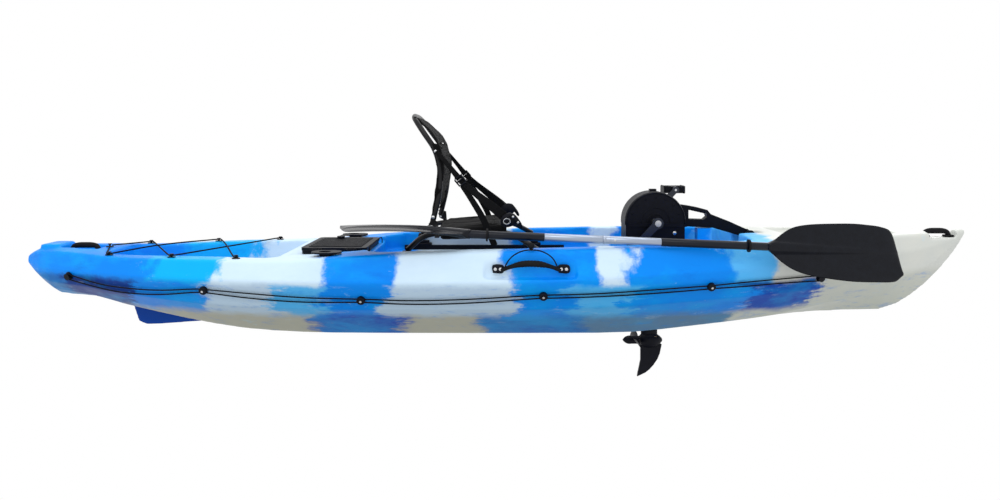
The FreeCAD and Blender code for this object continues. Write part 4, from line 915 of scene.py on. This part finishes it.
# The hull's lines along its length in millimetres, each as (X, value).
HALF_BEAM = [(-1985, 48), (-1900, 100), (-1750, 160), (-1500, 250), (-1200, 335), (-900, 385),
             (-500, 420), (0, 430), (400, 425), (800, 375), (1100, 310), (1400, 220),
             (1700, 115), (1900, 40), (1982, 10)]
KEEL = [(-1985, 262), (-1930, 189), (-1868, 137), (-1690, 120), (-1560, 90), (-1330, 51),
        (-1160, 27), (-980, 10), (-700, 0), (450, 0), (800, 18), (1110, 36), (1350, 58),
        (1640, 66), (1700, 92), (1795, 157), (1897, 259), (1965, 350), (1982, 385)]
UPPER_CHINE = [(-1985, 278), (-1900, 262), (-1750, 252), (-900, 251), (0, 254), (530, 276),
               (1000, 297), (1660, 326), (1800, 342), (1982, 391)]
GUNWALE = [(-1985, 300), (-1940, 322), (-1800, 330), (-1500, 320), (-1200, 324), (-880, 326),
           (-400, 357), (170, 373), (750, 385), (1400, 392), (1850, 398), (1982, 403)]
BILGE_RISE = [(-1985, 0.3), (-1500, 0.15), (-900, 0.05), (450, 0.05), (1100, 0.14),
              (1600, 0.38), (1982, 0.5)]
CHINE_WIDTH = [(-1985, 0.9), (0, 0.895), (1100, 0.87), (1700, 0.78), (1982, 0.75)]
BILGE_WIDTH, CHINE_HEIGHT, GUNWALE_WIDTH = 0.47, 0.57, 0.93
# The anchor trolley on the starboard side, in millimetres as (X, Z): its guides, its pulleys
# and, between them, where each cord sags a little.
GUIDES = [(-1132, 211), (-519, 185), (165, 203), (807, 228)]
PULLEYS = [(-1747, 235), (1268, 243)]
UPPER_SPANS = [[(-1620, 214), (-1470, 203), (-1310, 203)], [(-950, 206), (-740, 193)],
               [(-330, 185), (-110, 192)], [(380, 213), (600, 226)], [(960, 244), (1110, 250)]]
LOWER_SPANS = [[(-1640, 203), (-1500, 183), (-1320, 184)], [(-950, 186), (-740, 174)],
               [(-330, 170), (-110, 176)], [(380, 201), (600, 211)], [(960, 226), (1110, 233)]]
CORD_STAND_OFF, GUIDE_HALF_GAP, GUIDE_REACH, PULLEY_REACH = 9, 7, 24, 12


def smooth_curve(points, at):
    """A smooth curve through (place, value) points that never overshoots them."""
    steps = list(zip(points, points[1:]))
    slopes = [(b[1] - a[1]) / (b[0] - a[0]) for a, b in steps]
    tangents = [slopes[0]]
    for before, after in zip(slopes, slopes[1:]):
        flat = before * after <= 0
        tangents.append(0 if flat else 2 * before * after / (before + after))
    tangents.append(slopes[-1])
    at = min(max(at, points[0][0]), points[-1][0])
    for number, ((x0, y0), (x1, y1)) in enumerate(steps):
        if at <= x1:
            break
    width = x1 - x0
    u = (at - x0) / width
    return ((2 * u**3 - 3 * u**2 + 1) * y0 + (u**3 - 2 * u**2 + u) * width * tangents[number]
            + (3 * u**2 - 2 * u**3) * y1 + (u**3 - u**2) * width * tangents[number + 1])


def side_at(x, z):
    """How far the hull's side stands from the centreline at height z."""
    beam, keel, chine, gunwale = (smooth_curve(line, x)
                                  for line in (HALF_BEAM, KEEL, UPPER_CHINE, GUNWALE))
    side = chine - keel
    half = [(BILGE_WIDTH * beam, keel + smooth_curve(BILGE_RISE, x) * side * 0.9),
            (smooth_curve(CHINE_WIDTH, x) * beam, keel + CHINE_HEIGHT * side),
            (beam, chine),
            (GUNWALE_WIDTH * beam, gunwale - 0.07 * (gunwale - chine)),
            ((GUNWALE_WIDTH - 0.03) * beam, gunwale)]
    for (y0, z0), (y1, z1) in zip(half, half[1:]):
        if z <= z1:
            return y0 + (y1 - y0) * (z - z0) / (z1 - z0)
    return half[-2][0]


def beside_hull(x, z):
    """A point at the cord's stand-off, and the ways forward and up along the side there."""
    along = Vector((20, side_at(x - 10, z) - side_at(x + 10, z), 0))
    upward = Vector((0, side_at(x, z - 3) - side_at(x, z + 3), 6))
    out = along.cross(upward).normalized()
    if out.y > 0:
        out.negate()
    forward = (Vector((1, 0, 0)) - out * out.x).normalized()
    up = out.cross(forward)
    if up.z < 0:
        up.negate()
    return Vector((x, -side_at(x, z), z)) + out * CORD_STAND_OFF, forward, up


def trolley_route(spans, share):
    """From the stern pulley through the guides to the bow pulley, to a tenth of a millimetre."""
    def at_pulley(x, z):
        place, _, up = beside_hull(x, z)
        return place + up * share * PULLEY_REACH

    route = [at_pulley(*PULLEYS[0])]
    for number, span in enumerate(spans):
        route += [beside_hull(x, z)[0] for x, z in span]
        if number < len(GUIDES):
            place, forward, up = beside_hull(*GUIDES[number])
            centre = place + up * share * GUIDE_HALF_GAP
            route += [centre - forward * GUIDE_REACH, centre + forward * GUIDE_REACH]
    route.append(at_pulley(*PULLEYS[1]))
    return [tuple(round(value / 1000, 4) for value in point) for point in route]


CORDS = [("bungee_long", BUNGEE_LONG, 0.0030, 1.409, "tankwell_bungees"),
         ("bungee_cross", BUNGEE_CROSS, 0.0030, 1.409, "tankwell_bungees"),
         ("hatch_band_cord", HATCH_BAND, 0.0025, 0.382, "hatch_band"),
         ("park_loop_cord", PARK_LOOP, 0.0025, 0.255, "paddle_park_loop"),
         ("trolley_cord_upper", trolley_route(UPPER_SPANS, 1), 0.0026, 3.073,
          "trolley_cords"),
         ("trolley_cord_lower", trolley_route(LOWER_SPANS, -1), 0.0026, 3.074,
          "trolley_cords")]


def make_cords():
    for name, route, radius, length, node in CORDS:
        cord = round_cord(name, route, radius)
        finished(cord, "hull", "cord", [node], smooth=False)


# ---------------------------------------------------------------- paddle
REST = Vector((0.620, -0.387, 0.3995))
LINE = Vector((1, -0.012, -0.040)).normalized()
BLADE_OUTLINE = [(0, 0.06, 0.06), (0.046, 0.148, 0.125), (0.095, 0.245, 0.23),
                 (0.16, 0.347, 0.338), (0.24, 0.426, 0.398), (0.36, 0.486, 0.435),
                 (0.577, 0.537, 0.463), (0.70, 0.546, 0.454), (0.825, 0.542, 0.421),
                 (0.90, 0.537, 0.329), (0.956, 0.514, -0.02), (1.0, 0.417, -0.347)]
BLADE_LENGTH, BLADE_WIDTH = 0.510, 0.216
PADDLE_SPLIT, SHAFT_RADIUS = -0.230, 0.015


def make_blade(name, throat, tip, flat, node):
    """A blade: a thin spoon with a tapering spine down both faces and a rounded rim."""
    toward = 1 if tip > throat else -1
    up = Vector((0, -1, 0)) if flat else Vector((0, 0, 1))
    sideways = LINE.cross(up).normalized()
    up = sideways.cross(LINE).normalized()
    if flat:
        sideways = -sideways
    long_edge = even([(share, a, 0) for share, a, _ in BLADE_OUTLINE], 60)
    short_edge = even([(share, b, 0) for share, _, b in BLADE_OUTLINE], 60)
    columns = 48
    rows = []
    for low, high in zip(long_edge, short_edge):
        row = []
        for face in (1, -1):
            for column in range(columns + 1):
                share = -1 + 2 * column / columns
                share *= face
                t = low.x + (high.x - low.x) * (share + 1) / 2
                breadth = (-low.y + (high.y + low.y) * (share + 1) / 2) * BLADE_WIDTH
                spine_half = 0.020 * (1 - t) + 0.004
                spine = (0.013 * (1 - t) + 0.0015) * math.exp(-(breadth / spine_half) ** 4)
                cup = 0.014 * math.sin(math.pi * t)
                skin = 0.0026 * (1 - share ** 8) + 0.0004 + spine
                place = throat + toward * t * BLADE_LENGTH
                flare = 0.006 * (abs(share) ** 3) * t
                row.append(REST + LINE * place + up * breadth
                           + sideways * (cup + face * skin - flare))
        rows.append(row)
    piece = grid_mesh(name, rows, closed=True, caps=True)
    return finished(piece, BODY_OF[node], "blade_plastic", [node])


def along_paddle(distance):
    return REST + LINE * distance


def sleeve(name, start, end, radius, sides=40):
    """A tube along the paddle's line with eased ends."""
    length = end - start
    profile = [(0, radius - 0.001), (0.001, radius), (length - 0.001, radius),
               (length, radius - 0.001)]
    return turned_piece(name, profile, along_paddle(start), LINE, sides)


def make_paddle():
    make_blade("blade_bow", 0.391, 0.901, False, "paddle_blade_bow")
    make_blade("blade_stern", -0.731, -1.241, True, "paddle_blade_stern")
    middle, radius = PADDLE_SPLIT, SHAFT_RADIUS
    finished(sleeve("shaft_tube_bow", middle + 0.0003, -0.010, radius), "paddle",
             "paddle_alloy", ["paddle_shaft_bow"])
    finished(sleeve("shaft_grip_bow", -0.010, 0.412, radius + 0.0006), "paddle", "paddle_grip")
    finished(sleeve("shaft_tube_stern", -0.450, middle, radius), "paddle_stern",
             "paddle_alloy", ["paddle_shaft_stern"])
    finished(sleeve("shaft_grip_stern", -0.752, -0.450, radius + 0.0006), "paddle_stern",
             "paddle_grip")
    collar = [sleeve("collar", middle + 0.0005, middle + 0.012, radius + 0.0009),
              sleeve("button_ring", middle + 0.026, middle + 0.028, radius + 0.0005)]
    finished(joined("shaft_joint_collar", collar), "paddle", "paddle_alloy")
    button = turned_piece("shaft_button", [(-0.004, 0.004), (0.0005, 0.004), (0.002, 0.0025)],
                          along_paddle(middle + 0.045) + Vector((0, -radius, 0)), (0, -1, 0), 20)
    finished(button, "paddle", "stainless")


# ---------------------------------------------------------------- handles
def make_handles():
    grips = []
    for side in (PORT, STARBOARD):
        line = even([(x, side * y, z) for x, y, z in in_mm(
            [(8, 420, 299), (38, 428, 312), (75, 432, 322.5), (117, 433.5, 326),
             (160, 432, 322.5), (198, 428, 312), (228, 420, 299)])], 60)
        radii = []
        for number in range(60):
            share = number / 59
            swell = 0.0075 + 0.0045 * math.exp(-((share - 0.5) / 0.26) ** 4)
            ribs = 0.0006 * math.cos(number * math.pi * 0.66) if 0.25 < share < 0.75 else 0
            radii.append(swell + ribs)
        grips.append(tube_mesh("grip", line, 0.01, 20, radii))
    finished(joined("side_grips_moulded", grips), "hull", "black_rubber", ["side_handle_grips"])
    ends = []
    for first, last, foot, top in ((1.812, 1.916, 0.374, 0.4000), (-1.821, -1.711, 0.312, 0.339)):
        middle = (first + last) / 2
        line = even([(first - 0.001, 0, foot), (first + 0.003, 0, top - 0.010),
                     (first + 0.017, 0, top - 0.001), (middle, 0, top + 0.0005),
                     (last - 0.017, 0, top - 0.001), (last - 0.003, 0, top - 0.010),
                     (last + 0.001, 0, foot)], 60)
        radii = [0.0105 + 0.0018 * math.exp(-((number / 59 - 0.5) / 0.25) ** 4)
                 for number in range(60)]
        ends.append(tube_mesh("end_grip", line, 0.009, 20, radii))
        for x in (first, last):
            pad = slab("pad", rectangle(x, 0.017, -0.016, 0.016), 0, 0.009)
            ends.append(laid_flat(pad, 0, foot))
    finished(joined("end_handles_moulded", ends), "hull", "black_rubber", ["end_handles"])


# ---------------------------------------------------------------- drive dressing
HUB = Vector((0.655, 0, 0.442))


def make_drive_details():
    """Rims round the drum's faces and a scalloped grip under the lift bar."""
    rims = []
    for side in (PORT, STARBOARD):
        for radius, depth in ((0.1225, 0.0030), (0.060, 0.0018), (0.034, 0.0030)):
            line = [HUB + Vector((radius * math.cos(a), side * 0.0622, radius * math.sin(a)))
                    for a in [math.radians(-3 + 186 * step / 60) for step in range(61)]]
            rims.append(tube_mesh("rim", line, depth, 8))
    finished(joined("drum_rims", rims), "drive", "black_plastic")
    bumps = []
    for number in range(6):
        share = (number + 0.5) / 6
        x, z = 0.803 + 0.073 * share, 0.4965 - 0.0165 * share
        bumps.append(tube_mesh("bump", [(x, -0.0165, z), (x, 0.0165, z)], 0.0062, 20))
    finished(joined("lift_bar_scallops", bumps), "drive", "black_plastic")


def make_side_brackets():
    """Each side grip's two moulded lugs, with a pair of bright rivets."""
    lugs, rivets = [], []
    for side in (PORT, STARBOARD):
        for middle in (-0.005, 0.241):
            plan = rectangle(middle, 0.019, 0.289, 0.317)
            lugs.append(slab("lug", plan, side * 0.4075, side * 0.4215))
            for step in (-0.0095, 0.0095):
                rivets.append(turned_piece("rivet", [(0, 0.0066), (0.0010, 0.0064),
                                                     (0.0022, 0.0046), (0.0027, 0.0016)],
                                           (middle + step, side * 0.4213, 0.303),
                                           (0, side, 0), 24))
    finished(joined("side_grip_lugs", lugs), "hull", "black_plastic",
             ["side_handle_brackets"])
    finished(joined("side_grip_rivets", rivets), "hull", "stainless", ["side_handle_screws"])


def make_drive_screws():
    """Black button-head screws round the drum, and the bright bolts low on the case."""
    dark, bright = [], []
    head = [(0, 0.0042), (0.0012, 0.0042), (0.0022, 0.0030), (0.0025, 0.0012)]
    for side in (PORT, STARBOARD):
        for number in range(7):
            angle = math.radians(20 + 140 / 6 * number)
            place = HUB + Vector((0.104 * math.cos(angle), side * 0.0621,
                                  0.104 * math.sin(angle)))
            dark.append(turned_piece("screw", head, place, (0, side, 0), 16))
    finished(joined("drum_screws", dark), "drive", "black_plastic", ["drive_screws"])
    bolt = [(0, 0.0085), (0.0016, 0.0085), (0.0030, 0.0066), (0.0036, 0.0030)]
    bright.append(turned_piece("bolt", bolt, (0.734, -0.0622, 0.397), (0, -1, 0), 24))
    for x in (0.630, 0.645):
        bright.append(turned_piece("bolt", head, (x, -0.0221, -0.010), (0, -1, 0), 20))
    finished(joined("case_bolts", bright), "drive", "stainless")


def make_seat_feet():
    """Moulded clamps: a low shoe on each rail with a domed socket that takes the tube."""
    feet = []
    for side in (PORT, STARBOARD):
        for x, toe, lean in ((-0.356, -0.365, -0.26), (0.150, 0.160, 0.42)):
            plan = rectangle(x, 0.034, -0.017, 0.017)
            for low, high, scale in ((0.3008, 0.3120, 1.0), (0.3120, 0.3230, 0.72)):
                shoe = slab("shoe", [(x + (a - x) * scale, b * scale) for a, b in plan], 0,
                            high - low)
                feet.append(laid_flat(shoe, side * 0.302, low))
            feet.append(turned_piece("socket", [(0, 0.010), (0.003, 0.0155), (0.028, 0.0150),
                                                (0.034, 0.0125)],
                                     (toe, side * 0.302, 0.3215), (lean * -0.4, 0, 1), 28))
    finished(joined("seat_foot_clamps", feet), BODY_OF["seat_feet"], "black_plastic",
             ["seat_feet"])


def make_seat_wraps():
    """The pan's cover wraps each side tube: a padded sleeve with a seam along its face."""
    for name, side in (("port", PORT), ("starboard", STARBOARD)):
        rows = []
        for number in range(41):
            share = number / 40
            x = -0.233 + 0.262 * share
            end = min(1, min(share, 1 - share) / 0.06)
            swell = 0.72 + 0.28 * math.sqrt(end * (2 - end))
            centre = Vector((x, side * 0.2222, 0.4135 + 0.009 * share))
            row = []
            for step in range(28):
                angle = 2 * math.pi * step / 28
                up, out = math.sin(angle), math.cos(angle)
                fold = 1 + 0.05 * noise.noise(Vector((x * 40, out * 0.8, up * 1.6 + side)))
                crest = 0.432 + 0.075 * (x + 0.233) - centre.z
                tall = crest if up > 0 else 0.024
                row.append(centre + Vector((0, side * out * 0.0150, up * tall)) * swell * fold)
            rows.append(row)
        wrap = grid_mesh(f"seat_pan_wrap_{name}", rows, closed=True, caps=True)
        finished(wrap, "seat", "seat_fabric")


# ---------------------------------------------------------------- build
hull = softened("hull", 0.006, 6, 190000)
finished(hull, "hull", "hull_plastic", ["hull"])
make_seat_pad()
make_backrest()
make_straps()
make_cords()
make_paddle()
make_handles()
make_drive_details()
make_drive_screws()
make_side_brackets()
make_seat_feet()
make_seat_wraps()
REPLACED = {"hull", "seat_pad", "backrest_pad", "headrest", "recline_straps", "strap_buckles",
            "tankwell_bungees", "hatch_band", "paddle_park_loop", "trolley_cords",
            "paddle_blade_bow", "paddle_blade_stern", "paddle_shaft_bow", "paddle_shaft_stern",
            "side_handle_grips", "end_handles", "drive_screws", "seat_feet",
            "side_handle_brackets", "side_handle_screws"}
for plain_node in frame["nodes"]:
    if plain_node not in REPLACED:
        dress_node(plain_node, 0.0008, FINISH_OF.get(plain_node))
